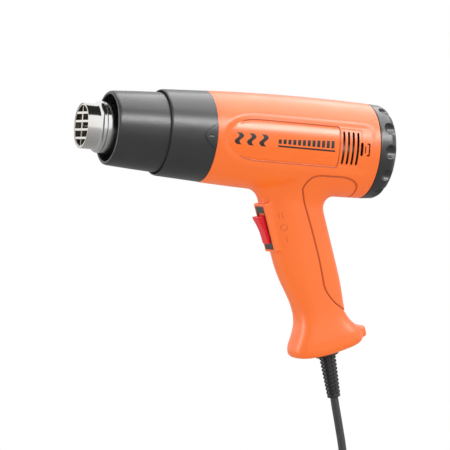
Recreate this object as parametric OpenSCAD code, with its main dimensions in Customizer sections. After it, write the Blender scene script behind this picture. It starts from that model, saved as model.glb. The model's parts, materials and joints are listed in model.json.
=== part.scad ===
// Hot air gun, split down its middle plane.
// X runs from the nozzle to the rear cap, Z is up and Y is the width.
// The origin is the middle of the grip. Along the barrel, places are measured back from the nozzle tip.
// In the grip's own frame, x is front to back and z is the height along the tilted handle.

/* [Barrel] */
// Height of the barrel's axis above the middle of the grip
axis_z = 95; // [94:0.5:96]
// Distance from the nozzle tip back to the middle of the grip
tip_to_grip = 193; // [192:0.5:194]
// Largest radius of the barrel
barrel_r = 38; // [37.8:0.1:38.4]
// Place of the largest radius, back from the nozzle tip
crown_s = 190; // [185:1:195]
// Radius of the barrel's lengthwise curve
crown_curve = 1680; // [1600:10:1800]
// Thickness of the moulded shells
shell_wall = 2.5; // [2.2:0.1:2.6]
// Place where the heat guard ends and the shells begin
shell_front_s = 98.3; // [98:0.1:98.6]
// Place where the shells end and the rear cap begins
shell_rear_s = 233.4; // [233:0.1:234]
// Full length of the gun, nozzle tip to rear face
gun_length = 250.2; // [250:0.1:251]

/* [Nozzle] */
// Outside radius of the nozzle's front end, where accessories push on
nozzle_r = 17.5; // [17.3:0.1:17.6]
// Length of the plain front end
nozzle_plain = 10.4; // [10:0.1:10.8]
// Thickness of the steel tube
nozzle_wall = 0.9; // [0.8:0.05:1]
// Width of the bars in the outlet grille
grille_bar = 1.8; // [1.4:0.1:2.2]
// Distance between the grille's level bars
grille_pitch = 6.4; // [6:0.1:6.8]

/* [Handle] */
// Lean of the handle, to the rear as it goes down, in degrees
handle_tilt = 20; // [19:0.5:21]
// Distance from the middle of the grip to the handle's foot
foot_h = 69.7; // [69:0.1:70]
// Roundness of the handle's section, 2 is an ellipse
handle_power = 2.4; // [2:0.1:3]

/* [Switch] */
// Height of the rocker's middle in the grip's frame
switch_h = 39; // [38.5:0.1:39.5]
// Place of the switch's front face in the grip's frame
switch_u = -24.7; // [-24.9:0.1:-24.5]
// Rocker tilt each way from off, in degrees
rocker_tilt = 9; // [8:0.5:9]
// Contact tilt for each degree of the rocker
contact_ratio = 0.6; // [0.4:0.05:0.6]

/* [Fan and motor] */
// Number of fan blades
fan_blades = 7; // [5:1:9]
// Radius over the fan blades
fan_r = 31; // [30:0.2:31]
// Outside radius of the motor can
motor_r = 17.8; // [17.6:0.1:17.8]
// Radius of the motor shaft
shaft_r = 1.6; // [1.5:0.05:1.6]

/* [Heater] */
// Number of heating coil turns
heater_turns = 11; // [8:1:11]
// Half width of the mica plates
mica_half = 14.6; // [14.4:0.1:14.8]

/* [Cord] */
// Diameter of the mains cord
cord_d = 6.5; // [6.4:0.1:6.6]
// Length of the strain relief's boot
boot_length = 35; // [34:0.5:36]

/* [Hidden] */
$fn = 72;
eps = 0.01;
far = 120;
tip_x = -tip_to_grip;
cord_r = cord_d / 2;

// Handle outline in the grip's frame: height, then place of the front, of the rear, and half width
handle_lines = [
    [88, -24, 26, 18],
    [60, -24, 26, 17.5],
    [20, -24.4, 25.7, 17],
    [4, -24.2, 25.6, 17],
    [-6, -22.2, 25.4, 16.8],
    [-16, -20, 25.2, 16.8],
    [-25, -18, 24.6, 17],
    [-36, -18.2, 23.4, 17.4],
    [-43, -20.2, 23.2, 18],
    [-49, -23.2, 25.6, 18.8],
    [-54, -26.4, 30.2, 19.5],
    [-58, -28.6, 34.4, 20],
    [-62, -29, 35.6, 20.2],
    [-65.5, -27.4, 35, 19.6],
    [-68.3, -24.4, 32.6, 18.2],
    [-foot_h, -20.8, 29, 15.6]
];
handle_sides = 32;
foot_wall = 2.8;

// Screws that close the shells, in the grip's frame for the handle and on the barrel's axis for the barrel
handle_screws = [[17, 40], [-11, -10], [20, -56]];
barrel_screws = [[108, 27.5], [108, -27.5], [222, 28], [222, -28]];
screw_seat_y = 6;
screw_shank = 1.4;
screw_head = 2.9;

// Vent slots in the barrel's sides
vent_s = [203, 207, 211, 215];
vent_height = 25.5;
vent_width = 1.5;
latch_s = [217.4, 223.4];

// Rear cap: flat face, rounded edge
cap_face_r = 27.5;
cap_round = 8.5;
cap_edge_s = gun_length - cap_round;

// Middle of the nozzle's wall, as [radius, place]
nozzle_mid_r = nozzle_r - nozzle_wall / 2;
nozzle_line = [
    [nozzle_mid_r, 0],
    [nozzle_mid_r, nozzle_plain],
    [18.2, 11.5],
    [19.3, 13],
    [19.5, 14.4],
    [18.9, 16.2],
    [19, 17.2],
    [19.3, 18.4],
    [19.3, 118]
];

// Places of the switch's two pivots in the grip's frame
pivot_u = switch_u + 3;
bridge_u = switch_u + 13.1;

// Ends of the motor can
can_front = 186;
can_rear = 236;

// Mica plates and the heating coils on them
plate_front = 6;
plate_rear = 120;
plate_middle = (plate_front + plate_rear) / 2;
first_turn_s = 15;
turn_step = 9;
turn_r = 13.2;

// Cord: where it leaves the boot, its way down, and the coil that puts its length away
cord_start = [34.2, 0, -100.2];
cord_route = [
    cord_start,
    [36.5, 0, -109],
    [39, 0, -118],
    [41.4, 0, -127],
    [43.8, 0, -136],
    [45.7, 0, -145],
    [47, 0, -154],
    [47.6, 0, -163],
    [47.6, 1.2, -176],
    [47.6, 4.6, -184],
    [47.6, 10, -190.5],
    [47.6, 17, -195]
];
cord_sides = 10;
turn_pitch = 6.8;
coil_inner_r = 32.5;
coil_outer_r = coil_inner_r + turn_pitch;
coil_x = 37.4;
coil_z = -230.5;
coil_half_x = 1.5 * turn_pitch + cord_r;
tail_x = coil_x + turn_pitch / 2;
plug_top_z = coil_z - 26;

// ---- Helpers ----

// Puts children on the barrel's axis, with their z running back from the nozzle tip.
module axial(s = 0) {
    translate([tip_x + s, 0, axis_z]) rotate([0, 90, 0]) children();
}

// Puts children in the grip's frame.
module in_handle() {
    rotate([0, -handle_tilt, 0]) children();
}

// A turned solid on the barrel's axis, from [radius, place] points.
module turned(points) {
    axial() rotate_extrude($fn = 96) polygon(points);
}

// A turned tube of even wall around a centre line of [radius, place] points.
module turned_tube(line, wall) {
    last = len(line) - 1;
    outside = [for (p = line) [p[0] + wall / 2, p[1]]];
    inside = [for (i = [last:-1:0]) [line[i][0] - wall / 2, line[i][1]]];
    turned(concat(outside, inside));
}

// A ring on the barrel's axis.
module ring(s, length, outer, inner) {
    axial(s) difference() {
        cylinder(r = outer, h = length);
        translate([0, 0, -1]) cylinder(r = inner, h = length + 2);
    }
}

// A round bar across the width at a point of the XZ plane.
module cross_bar(x, z, y0, y1, r) {
    translate([x, y1, z]) rotate([90, 0, 0]) cylinder(r = r, h = y1 - y0, $fn = 32);
}

// One closed solid through rings of points, all rings with the same count.
module skin(rings) {
    n = len(rings[0]);
    last = len(rings) - 1;
    points = [for (ring = rings) each ring];
    sides = [for (i = [0:last - 1]) for (j = [0:n - 1])
        [i * n + j, i * n + (j + 1) % n, (i + 1) * n + (j + 1) % n, (i + 1) * n + j]];
    first_cap = [for (j = [n - 1:-1:0]) j];
    last_cap = [for (j = [0:n - 1]) last * n + j];
    polyhedron(points, concat(sides, [first_cap, last_cap]));
}

// A round wire along straight runs between points.
module wire(points, r) {
    for (i = [0:len(points) - 2]) {
        run = points[i + 1] - points[i];
        translate(points[i]) rotate([0, acos(run[2] / norm(run)), atan2(run[1], run[0])])
            cylinder(r = r, h = norm(run), $fn = 16);
    }
    for (i = [1:len(points) - 2]) translate(points[i]) sphere(r = r + 0.1, $fn = 16);
}

// ---- Shells ----

function barrel_at(s) = barrel_r - pow(s - crown_s, 2) / (2 * crown_curve);

function barrel_line(inset) =
    [for (i = [0:12]) let (s = shell_front_s + i * (shell_rear_s - shell_front_s) / 12)
        [barrel_at(s) - inset, s]];

module barrel_solid(inset) {
    line = barrel_line(inset);
    turned(concat([[0, shell_front_s]], line, [[0, shell_rear_s]]));
}

// One section of the handle, drawn in by inset all round.
function handle_ring(row, inset) =
    let (middle = (row[1] + row[2]) / 2, half = (row[2] - row[1]) / 2 - inset, wide = row[3] - inset)
    [for (j = [0:handle_sides - 1]) let (a = 360 * j / handle_sides)
        [middle + half * sign(cos(a)) * pow(abs(cos(a)), 2 / handle_power),
         wide * sign(sin(a)) * pow(abs(sin(a)), 2 / handle_power),
         row[0]]];

module handle_solid(inset, bottom) {
    rows = [for (row = handle_lines) if (row[0] > bottom) row];
    floor_row = concat([bottom], [for (i = [1:3]) lookup(-bottom, [for (r = handle_lines) [-r[0], r[i]]])]);
    in_handle() skin([for (row = concat(rows, [floor_row])) handle_ring(row, inset)]);
}

// The raised frame that the switch sits in.
module switch_collar() {
    in_handle() translate([switch_u + 1, -10.5, switch_h - 19.5]) cube([14, 21, 39]);
}

// The way through for the switch's body, and the seat of its front frame.
module switch_opening() {
    in_handle() translate([switch_u, 0, switch_h]) {
        translate([-5, -7.9, -14.5]) cube([40, 15.8, 29]);
        translate([-5, -8.4, -17.4]) cube([6, 16.8, 34.8]);
    }
}

// The hollow of both shells: barrel bore, handle hollow and the seat of the heat guard.
module shell_hollow() {
    difference() {
        axial() rotate_extrude($fn = 96)
            polygon(concat([[0, shell_front_s - 1]], [[32.9, shell_front_s - 1], [32.9, 105]],
                [for (p = barrel_line(shell_wall)) if (p[1] > 106) p],
                [[barrel_at(shell_rear_s) - shell_wall, shell_rear_s + 1], [0, shell_rear_s + 1]]));
        ring(114.4, 1.2, 40, 27);
        ring(118, 1.2, 40, 27);
    }
    handle_solid(shell_wall, foot_wall - foot_h);
}

module shell_body() {
    difference() {
        union() {
            barrel_solid(0);
            handle_solid(0, -foot_h);
            switch_collar();
        }
        shell_hollow();
        switch_opening();
        for (s = vent_s)
            axial(s) translate([-vent_height / 2, -far / 2, -vent_width / 2])
                cube([vent_height, far, vent_width]);
        for (s = latch_s) axial(s) translate([-5, -far / 2, 0]) cube([10, far, 2]);
        in_handle() translate([0.9, 0, -foot_h - 1]) cylinder(r = 5.5, h = 5);
    }
}

// Draws children at every screw, with Y along the screw.
module at_screws() {
    in_handle() for (p = handle_screws) translate([p[0], 0, p[1]]) children();
    for (p = barrel_screws) translate([tip_x + p[0], 0, axis_z + p[1]]) children();
}

// Screw posts as far as the shells' outside, before they are cut to one side.
module screw_posts(r) {
    intersection() {
        at_screws() cross_bar(0, 0, -36, 36, r);
        union() {
            barrel_solid(1);
            handle_solid(1, 1 - foot_h);
        }
    }
}

module one_side(side) {
    translate([-far * 2, side < 0 ? -far : 0, -far * 2]) cube([far * 4, far, far * 4]);
}

module housing_left() {
    color("darkorange") difference() {
        union() {
            intersection() {
                union() {
                    shell_body();
                    screw_posts(3.2);
                }
                one_side(-1);
            }
            in_handle() for (u = [-8, 9.8]) cross_bar(u, -50, -15.5, 3.2, 2.8);
        }
        at_screws() cross_bar(0, 0, -10, 1, screw_shank + 0.05);
        in_handle() for (u = [-8, 9.8]) cross_bar(u, -50, -6, 4, 1.25);
    }
}

module housing_right() {
    color("darkorange") difference() {
        intersection() {
            union() {
                shell_body();
                screw_posts(4.4);
            }
            one_side(1);
        }
        at_screws() cross_bar(0, 0, -1, 40, screw_shank + 0.3);
        at_screws() cross_bar(0, 0, screw_seat_y, 40, screw_head + 0.3);
    }
}

module housing_screws() {
    color("dimgray") at_screws() {
        cross_bar(0, 0, -9, screw_seat_y, screw_shank);
        difference() {
            cross_bar(0, 0, screw_seat_y, screw_seat_y + 2, screw_head);
            translate([-0.4, screw_seat_y + 1.2, -2]) cube([0.8, 1, 4]);
            translate([-2, screw_seat_y + 1.2, -0.4]) cube([4, 1, 0.8]);
        }
    }
}

// ---- Rear cap ----

module rear_cap() {
    color("dimgray") difference() {
        turned(concat(
            [[32.6, 228.4], [34.5, 228.4], [34.5, shell_rear_s], [barrel_at(shell_rear_s), shell_rear_s]],
            [for (a = [0:15:90]) [cap_face_r + cap_round * cos(a), cap_edge_s + cap_round * sin(a)]],
            [[24, gun_length], [24, gun_length - 3], [27, gun_length - 3], [33.2, gun_length - 9.5],
                [33.2, shell_rear_s], [32.6, shell_rear_s]]));
        axial(gun_length - 7.5) for (i = [0:11]) rotate([0, 0, 30 * i]) translate([-5, 33, 0]) cube([10, 10, 12]);
    }
}

module intake_grille() {
    color("dimgray") difference() {
        union() {
            ring(gun_length - 4.9, 1.8, 26.8, 22.6);
            ring(gun_length - 4.9, 4.4, 23.8, 22.6);
            axial(gun_length - 2.7) cylinder(r = 22.8, h = 2.2);
        }
        for (i = [0:15]) axial(240) rotate([0, 0, 22.5 * i]) translate([9.5, -1.3, 0]) cube([12, 2.6, 30]);
    }
}

// ---- Heat guard and nozzle ----

function guard_at(s) = 33.4 + (s - 63) * 0.054;

module arrow_outline() {
    polygon([[98.3, 10], [94.2, 7.6], [90.8, 4.6], [88.6, 1.8], [88, 0],
        [88.6, -1.8], [90.8, -4.6], [94.2, -7.6], [98.3, -10]]);
}

module rear_sleeve() {
    color("dimgray") {
        turned([[32, 61.5], [32.7, 61.5], [33.2, 61.9], [33.4, 62.8], [guard_at(98.2), 98.2],
            [32.8, 98.2], [32.8, 103.2], [30.6, 103.2], [30.6, 76.8], [32, 76.8]]);
        intersection() {
            turned([[guard_at(85) - 0.6, 85], [guard_at(85) + 0.9, 85], [guard_at(98.2) + 0.6, 98.2],
                [guard_at(98.2) - 0.6, 98.2]]);
            translate([tip_x, far / 2, axis_z]) rotate([90, 0, 0]) linear_extrude(far) arrow_outline();
        }
    }
}

module front_sleeve() {
    color("dimgray") turned([[25.4, 21.2], [26, 20.7], [27.3, 20.7], [28.2, 21.2], [28.6, 22.4], [31.1, 62],
        [31.5, 76.3], [29.3, 76.3], [28.9, 62], [26.2, 24], [25.4, 23.4]]);
}

module nozzle_tube() {
    color("silver") {
        turned_tube(nozzle_line, nozzle_wall);
        ring(116.1, 1.2, 31, 19.5);
    }
}

module outlet_grille() {
    color("silver") axial(0.3) linear_extrude(1.3) {
        difference() {
            circle(r = nozzle_r - nozzle_wall - 0.05);
            circle(r = nozzle_r - nozzle_wall - 1);
        }
        intersection() {
            circle(r = nozzle_r - nozzle_wall - 0.5);
            union() {
                for (i = [-1.5:1:1.5]) translate([i * grille_pitch, 0]) square([grille_bar, 40], center = true);
                square([40, grille_bar], center = true);
            }
        }
    }
}

// ---- Switch ----

module switch_frame() {
    color([0.1, 0.1, 0.1]) in_handle() translate([switch_u, 0, switch_h]) difference() {
        union() {
            translate([0, -8.2, -17.2]) cube([1, 16.4, 34.4]);
            translate([1 - eps, -7.6, -14.2]) cube([18, 15.2, 28.4]);
        }
        translate([-1, -6.5, -11.8]) cube([16.7, 13, 23.6]);
        cross_bar(pivot_u - switch_u, 0, -10, 10, 1.55);
        for (q = [-8, 0, 8]) translate([10, -2.6, q - 0.7]) cube([12, 5.2, 1.4]);
    }
}

module rocker() {
    color([0.85, 0.08, 0.12]) in_handle() translate([pivot_u, 0, switch_h]) rotate([0, -rocker_tilt, 0]) {
        difference() {
            translate([0, 6.2, 0]) rotate([90, 0, 0]) linear_extrude(12.4)
                polygon([[-8, 11.3], [-6.6, 11.4], [2.5, 9.6], [2.5, -9.6], [-6.6, -11.4], [-8, -11.3]]);
            translate([-38.9, 20, 0]) rotate([90, 0, 0]) cylinder(r = 32.9, h = 40, $fn = 180);
        }
        cross_bar(0, 0, -7.4, 7.4, 1.5);
    }
}

module contact_bridge() {
    color("peru") in_handle() translate([bridge_u, 0, switch_h]) rotate([0, contact_ratio * rocker_tilt, 0])
        translate([-1, -2.5, -8.6]) cube([0.8, 5, 17.2]);
}

module switch_terminals() {
    color("peru") in_handle() translate([switch_u, 0, switch_h]) for (q = [-8, 0, 8])
        translate([14, -2.4, q - 0.5]) cube([13, 4.8, 1]);
}

// ---- Motor and fan ----

module motor_can() {
    color("silver") difference() {
        axial(can_front) cylinder(r = motor_r, h = can_rear - can_front);
        axial(can_front + 1.2) cylinder(r = motor_r - 1.2, h = 60);
        axial(can_front - 1) cylinder(r = 4.2, h = 5);
    }
}

module motor_magnets() {
    color("darkslategray") axial(190) for (turn = [30, 210]) rotate([0, 0, turn])
        rotate_extrude(angle = 120) translate([13.2, 0]) square([3.2, 38]);
}

module motor_end_bell() {
    color("whitesmoke") difference() {
        axial(can_rear) cylinder(r = motor_r, h = 4);
        axial(can_rear - 1) cylinder(r = 4.2, h = 8);
        axial(can_rear - 1) for (turn = [0, 180])
            rotate([0, 0, turn]) translate([10, 0, 0]) cylinder(r = 2, h = 8);
    }
}

module bush(s) {
    color("goldenrod") ring(s, 3.4, 4.1, shaft_r + 0.05);
}

module front_bearing() {
    bush(184.4);
}

module rear_bearing() {
    bush(236.4);
}

module rotor_shaft() {
    color("lightgray") axial(164.5) cylinder(r = shaft_r, h = 78);
}

module armature() {
    color("gray") axial(195) difference() {
        cylinder(r = 12.6, h = 26);
        translate([0, 0, -1]) cylinder(r = shaft_r + 0.02, h = 30);
        for (i = [0:4]) rotate([0, 0, 72 * i]) translate([7, -1, -1]) cube([8, 2, 30]);
    }
}

module windings() {
    color("peru") for (s = [191, 221.2]) ring(s, 3.8, 11.2, 4);
}

module commutator() {
    color("peru") axial(226) difference() {
        cylinder(r = 5, h = 8);
        translate([0, 0, -1]) cylinder(r = shaft_r + 0.02, h = 10);
    }
}

module brushes() {
    color([0.15, 0.15, 0.15]) axial(228.5) for (turn = [0, 180]) rotate([0, 0, turn])
        translate([5.3, -2, 0]) cube([6, 4, 4]);
}

module fan() {
    color("ivory") axial(166) difference() {
        union() {
            cylinder(r = 8, h = 14);
            intersection() {
                cylinder(r = fan_r, h = 14);
                for (i = [0:fan_blades - 1]) rotate([0, 0, i * 360 / fan_blades])
                    translate([7, 0, 7]) rotate([40, 0, 0]) translate([0, -0.7, -11]) cube([30, 1.4, 22]);
            }
        }
        translate([0, 0, -1]) cylinder(r = shaft_r + 0.02, h = 20);
    }
}

module motor_mount() {
    color("whitesmoke") difference() {
        union() {
            axial(183.6) cylinder(r = 35, h = 2.3);
            ring(185.8, 10, 20, motor_r + 0.1);
        }
        axial(180) cylinder(r = 5, h = 10);
        for (i = [0:5]) axial(180) rotate([0, 0, 60 * i])
            rotate_extrude(angle = 50) translate([20.5, 0]) square([12, 10]);
    }
}

module air_funnel() {
    color("whitesmoke") turned_tube([[20.8, 120], [20.8, 126], [32.4, 160], [32.4, 182.6]], 1.2);
}

// ---- Heater ----

// One mica plate lying across local y, slotted along its middle from slot_from, with notches for the turns.
module mica_plate(slot_from) {
    difference() {
        translate([-mica_half, -0.5, plate_front]) cube([2 * mica_half, 1, plate_rear - plate_front]);
        translate([-0.6, -1, slot_from]) cube([1.2, 2, plate_middle - plate_front + 0.2]);
        for (i = [0:heater_turns - 1]) for (side = [0, 1])
            mirror([side, 0, 0]) translate([turn_r - 1.6, -1, first_turn_s + i * turn_step - 1.6])
                cube([5, 2, 3.2]);
    }
}

module mica_plate_upright() {
    color("tan") axial() mica_plate(plate_front - 0.1);
}

module mica_plate_flat() {
    color("tan") axial() rotate([0, 0, 90]) mica_plate(plate_middle - 0.1);
}

module heating_coils() {
    color("gray") for (i = [0:heater_turns - 1]) axial(first_turn_s + i * turn_step)
        rotate_extrude() translate([turn_r, 0]) circle(r = 1.25, $fn = 24);
}

module mica_sleeve() {
    color("tan") ring(4, 117, 15.9, 15.3);
}

module thermal_cutout() {
    color("silver") axial(109) translate([4.8, 4.8, 0]) cylinder(r = 4, h = 9);
}

module thermal_fuse() {
    color("lightgray") axial(109) translate([-2.8, -2.8, 0]) cylinder(r = 2, h = 9);
}

// ---- Handle contents ----

module rectifier_board() {
    color("darkgreen") in_handle() difference() {
        translate([2, 5, -30]) cube([18, 1.6, 40]);
        for (h = [-27, 7]) cross_bar(11, h, 4, 8, 1.2);
    }
}

module diodes() {
    color([0.15, 0.15, 0.15]) in_handle() for (i = [0:3])
        translate([4.8 + 4 * i, 8, -8]) cylinder(r = 1.35, h = 6);
}

module capacitor() {
    color("goldenrod") in_handle() translate([5, -1.2, -26]) cube([12, 6.2, 10]);
}

module cord_inner_end() {
    color([0.12, 0.12, 0.12]) in_handle() translate([0.9, 0, -62]) cylinder(r = cord_r, h = 22);
}

module cord_clamp() {
    color("whitesmoke") in_handle() difference() {
        translate([-11, 3.3, -53.5]) cube([24, 3, 7]);
        for (u = [-8, 9.8]) cross_bar(u, -50, 2, 8, 1.45);
    }
}

module clamp_screws() {
    color("silver") in_handle() for (u = [-8, 9.8]) {
        cross_bar(u, -50, -5, 6.3, 1.2);
        cross_bar(u, -50, 6.3, 8, 2.4);
    }
}

module lead_wires() {
    color("royalblue") in_handle() wire([[-1, 0, -39.6], [-1, -1, -20], [-1, -1, 10], [3.5, 0, 30.5]], 0.9);
    color("saddlebrown") in_handle()
        wire([[2.8, 0, -39.6], [-3, -5, -26], [-3, -5, 12], [10, -5, 46], [31.7, -5, 66.7], [72.1, -5, 52],
            [74.7, -5, 59]], 0.9);
}

// ---- Cord ----

module strain_relief() {
    color([0.14, 0.14, 0.14]) in_handle() {
        translate([0.9, 0, -66.7]) cylinder(r = 7.4, h = 4.5);
        translate([0.9, 0, -70]) cylinder(r = 5.4, h = 4);
        translate([0.9, 0, -foot_h - 2.5]) cylinder(r = 8.6, h = 2.4);
        translate([0.9, 0, -71]) rotate([0, 185, 0]) {
            cylinder(r1 = 6.2, r2 = 4.6, h = boot_length);
            for (i = [0:9]) translate([0, 0, 3 + 3 * i]) cylinder(r = 6.8 - 0.15 * i, h = 1.9);
            translate([0, 0, boot_length - 2.5]) cylinder(r = 5.3, h = 2.5);
        }
    }
}

// Direction of the route at point i.
function heading(i) =
    let (a = cord_route[max(i - 1, 0)], b = cord_route[min(i + 1, len(cord_route) - 1)]) (b - a) / norm(b - a);

function cord_ring(i) =
    let (t = heading(i), side = cross(t, [1, 0, 0]), u = side / norm(side), v = cross(t, u))
    [for (j = [0:cord_sides - 1]) let (a = 360 * j / cord_sides)
        cord_route[i] + cord_r * (cos(a) * u + sin(a) * v)];

module power_cord() {
    color([0.12, 0.12, 0.12]) skin([for (i = [0:len(cord_route) - 1]) cord_ring(i)]);
}

// Puts children at the coil's middle with their z along X.
module at_coil() {
    translate([coil_x, 0, coil_z]) rotate([0, 90, 0]) children();
}

module cord_coil() {
    color([0.12, 0.12, 0.12]) at_coil() rotate_extrude($fn = 96)
        translate([coil_inner_r - cord_r, -coil_half_x]) square([turn_pitch + cord_d, 2 * coil_half_x]);
}

module coil_tie() {
    color("black") at_coil() rotate([0, 0, -6]) rotate_extrude(angle = 12, $fn = 96) difference() {
        translate([coil_inner_r - cord_r - 1.3, -coil_half_x - 1.3])
            square([turn_pitch + cord_d + 2.6, 2 * coil_half_x + 2.6]);
        translate([coil_inner_r - cord_r - 0.1, -coil_half_x - 0.1])
            square([turn_pitch + cord_d + 0.2, 2 * coil_half_x + 0.2]);
    }
}

module cord_tail() {
    color([0.12, 0.12, 0.12]) translate([tail_x, coil_outer_r, plug_top_z]) cylinder(r = cord_r, h = 26);
}

module plug_body() {
    color([0.14, 0.14, 0.14]) translate([tail_x, coil_outer_r, plug_top_z]) {
        translate([0, 0, -14]) cylinder(r1 = 7.5, r2 = 4.8, h = 14);
        hull() for (side = [-1, 1]) {
            translate([side * 9.5, 0, -42]) cylinder(r = 8, h = 20, $fn = 32);
            translate([side * 2, 0, -20]) cylinder(r = 6.5, h = 7, $fn = 32);
        }
    }
}

module plug_pins() {
    color("silver") translate([tail_x, coil_outer_r, plug_top_z - 61]) for (side = [-1, 1])
        translate([side * 9.5, 0, 0]) cylinder(r = 2.4, h = 19, $fn = 32);
}

housing_left();
housing_right();
rear_cap();
intake_grille();
rear_sleeve();
front_sleeve();
nozzle_tube();
outlet_grille();
switch_frame();
rocker();
contact_bridge();
switch_terminals();
motor_can();
motor_magnets();
motor_end_bell();
front_bearing();
rear_bearing();
rotor_shaft();
armature();
windings();
commutator();
brushes();
fan();
motor_mount();
air_funnel();
mica_plate_upright();
mica_plate_flat();
heating_coils();
mica_sleeve();
thermal_cutout();
thermal_fuse();
rectifier_board();
diodes();
capacitor();
housing_screws();
cord_inner_end();
cord_clamp();
clamp_screws();
lead_wires();
strain_relief();
power_cord();
cord_tail();
cord_coil();
coil_tie();
plug_body();
plug_pins();
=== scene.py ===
import json
import math

import bmesh
import bpy
import numpy as np
from mathutils import Matrix, Vector


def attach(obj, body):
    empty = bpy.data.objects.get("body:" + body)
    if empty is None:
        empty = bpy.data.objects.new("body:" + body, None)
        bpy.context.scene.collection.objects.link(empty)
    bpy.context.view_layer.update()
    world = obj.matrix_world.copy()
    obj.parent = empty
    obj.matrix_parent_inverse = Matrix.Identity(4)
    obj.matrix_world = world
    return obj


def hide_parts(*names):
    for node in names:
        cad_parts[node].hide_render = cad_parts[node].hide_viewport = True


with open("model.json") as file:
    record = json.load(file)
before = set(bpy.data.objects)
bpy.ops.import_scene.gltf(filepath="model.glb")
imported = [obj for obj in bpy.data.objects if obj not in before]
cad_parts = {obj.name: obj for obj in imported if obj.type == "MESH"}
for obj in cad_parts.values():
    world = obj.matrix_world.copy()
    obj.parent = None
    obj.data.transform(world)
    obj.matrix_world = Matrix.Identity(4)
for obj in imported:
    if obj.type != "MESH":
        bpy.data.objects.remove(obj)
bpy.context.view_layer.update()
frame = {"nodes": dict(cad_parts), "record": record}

# Sizes and places are in millimetres, as in the part's own source, and meshes are scaled once, when made.
# X runs from the nozzle to the rear cap, Z is up, Y is the width, and the origin is the middle of the grip.
# A place along the barrel, s, counts back from the nozzle tip.
MM = 0.001

# Barrel
AXIS_Z = 95
TIP_X = -193
CROWN_R = 38
CROWN_S = 190
CROWN_CURVE = 1680
SHELL_FRONT = 98.3
SHELL_REAR = 233.4
SHELL_WALL = 2.5
GUN_LENGTH = 250.2
SEAM_GAP = 0.12

# Smooth panel that carries the print, the recess that blends it into the barrel, and the vents' panel
PLATE_HALF = 15.8
PLATE_NOSE = 25
PLATE_REAR = 199.5
NOSE_CENTRE = 132
RECESS_HALF = 21.5
RECESS_NOSE = 29.5
RECESS_FLOOR_REAR = 225.5
RECESS_RIM_REAR = 230.5
RECESS_DEPTH = 1.6
VENT_PANEL_CENTRE = (209.3, 0)
VENT_PANEL_HALF = (8.8, 15.4)

# Print: where the heat waves stand, and where the row of bars begins and ends
WAVE_PLACES = (116, 126, 136)
WAVE_HALF_HEIGHT = 4.6
BARS_FRONT = 148
BARS_REAR = 195.5

# Rear cap. CAP_REACH is how far from the axis its field is looked at
CAP_REACH = 40
CAP_BORE_R = 31.6
CAP_THROAT_R = 27
CAP_MOUTH_R = 24
SCOOP_COUNT = 12
SCOOP_S = 243.3
SCOOP_OUT = 37.6
SCOOP_R = 5

# Sleeves
GUARD_FRONT_R = 33.4
GUARD_FRONT_S = 63
GUARD_SLOPE = 0.054
ARROW_RISE = 0.9

# Handle, in the grip's own frame: u runs to the rear and h up along the tilted handle
TILT = math.radians(20)
FOOT_H = 69.7
FOOT_EDGE = 5.5
HANDLE_POWER = 3.0
FACET_ANGLE = math.radians(30)
FACET_SET_IN = 0.975
FACET_ROUND = 2.5
# Height, front, rear, half width, and the crease where the side turns into the front facet
HANDLE_LINES = np.array([
    (88, -22.6, 25.2, 17.5, -6),
    (60, -22.6, 25.0, 17.5, -6),
    (38, -22.8, 24.6, 17.2, -8.6),
    (20, -22.8, 24.5, 17.0, -9.4),
    (4, -22.2, 24.4, 17.0, -10.8),
    (-6, -20.8, 24.3, 16.8, -11.4),
    (-16, -18.7, 24.0, 16.8, -12),
    (-25, -17.0, 23.2, 17.0, -12.3),
    (-36, -16.9, 22.0, 17.4, -13.6),
    (-43, -18.6, 21.8, 18.0, -15.6),
    (-49, -21.8, 24.2, 18.8, -18),
    (-54, -25.2, 27.6, 19.5, -21),
    (-58, -27.6, 30.2, 20.0, -23.4),
    (-62, -28.6, 31.2, 20.2, -25),
    (-75, -28.8, 31.4, 20.3, -26),
], float)

# Switch, in the grip's frame
SWITCH_U = -24.7
SWITCH_H = 39
ROCKER_TILT = math.radians(9)
PIVOT_U = SWITCH_U + 3
COLLAR_CENTRE = (-14.6, 0, SWITCH_H)
COLLAR_HALF = (10, 10.5, 19.5)

# Screws that close the shells: (u, h) in the handle, (place, height over the axis) in the barrel
HANDLE_SCREWS = [(17, 40), (-11, -10), (20, -56)]
BARREL_SCREWS = [(108, 27.5), (108, -27.5), (222, 28), (222, -28)]
SCREW_SEAT_Y = 6
WELL_R = 3.2
POST_R = 4.5
POST_BORE_R = 1.35

# Vents and the latch marks behind them
VENT_PLACES = [203, 207, 211, 215]
VENT_HALF = 12.7

# Cord
CORD_D = 6.5
CORD_EXIT = (34.2, 0, -100.2)
CORD_ROUTE = [
    CORD_EXIT, (36.5, 0, -109), (39, 0, -118), (41.4, 0, -127), (43.8, 0, -136), (45.7, 0, -145),
    (47, 0, -154), (47.6, 0, -163), (47.6, 1.2, -176), (47.6, 4.6, -184), (47.6, 10, -190.5),
    (47.6, 17, -195),
]
COIL_CENTRE = (37.4, 0, -230.5)
TURN_PITCH = 6.8
COIL_INNER_R = 32.5
COIL_START = 25.65
COIL_END = 7 * 360 + 90
PLUG_TOP_Z = -256.5

# Strain relief
RIB_COUNT = 10
RIB_STEP = 3.05
RIB_START = 3.4
RIB_SHRINK = 0.019

# Stage, in metres and radians
FLOOR_R = 1.1
FLOOR_Z = -0.335
DARK_GAP_BEARING = 0.95


# ---- Places ----

def grip_frame(x, z):
    """Row frame to the grip's frame."""
    return x * math.cos(TILT) + z * math.sin(TILT), z * math.cos(TILT) - x * math.sin(TILT)


def from_grip(u, y, h):
    """Grip's frame to the row frame."""
    return np.array([u * math.cos(TILT) - h * math.sin(TILT), y, u * math.sin(TILT) + h * math.cos(TILT)])


def on_axis(s, across=0.0, up=0.0):
    """A point by its place back from the nozzle tip."""
    return np.array([TIP_X + s, across, AXIS_Z + up])


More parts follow.
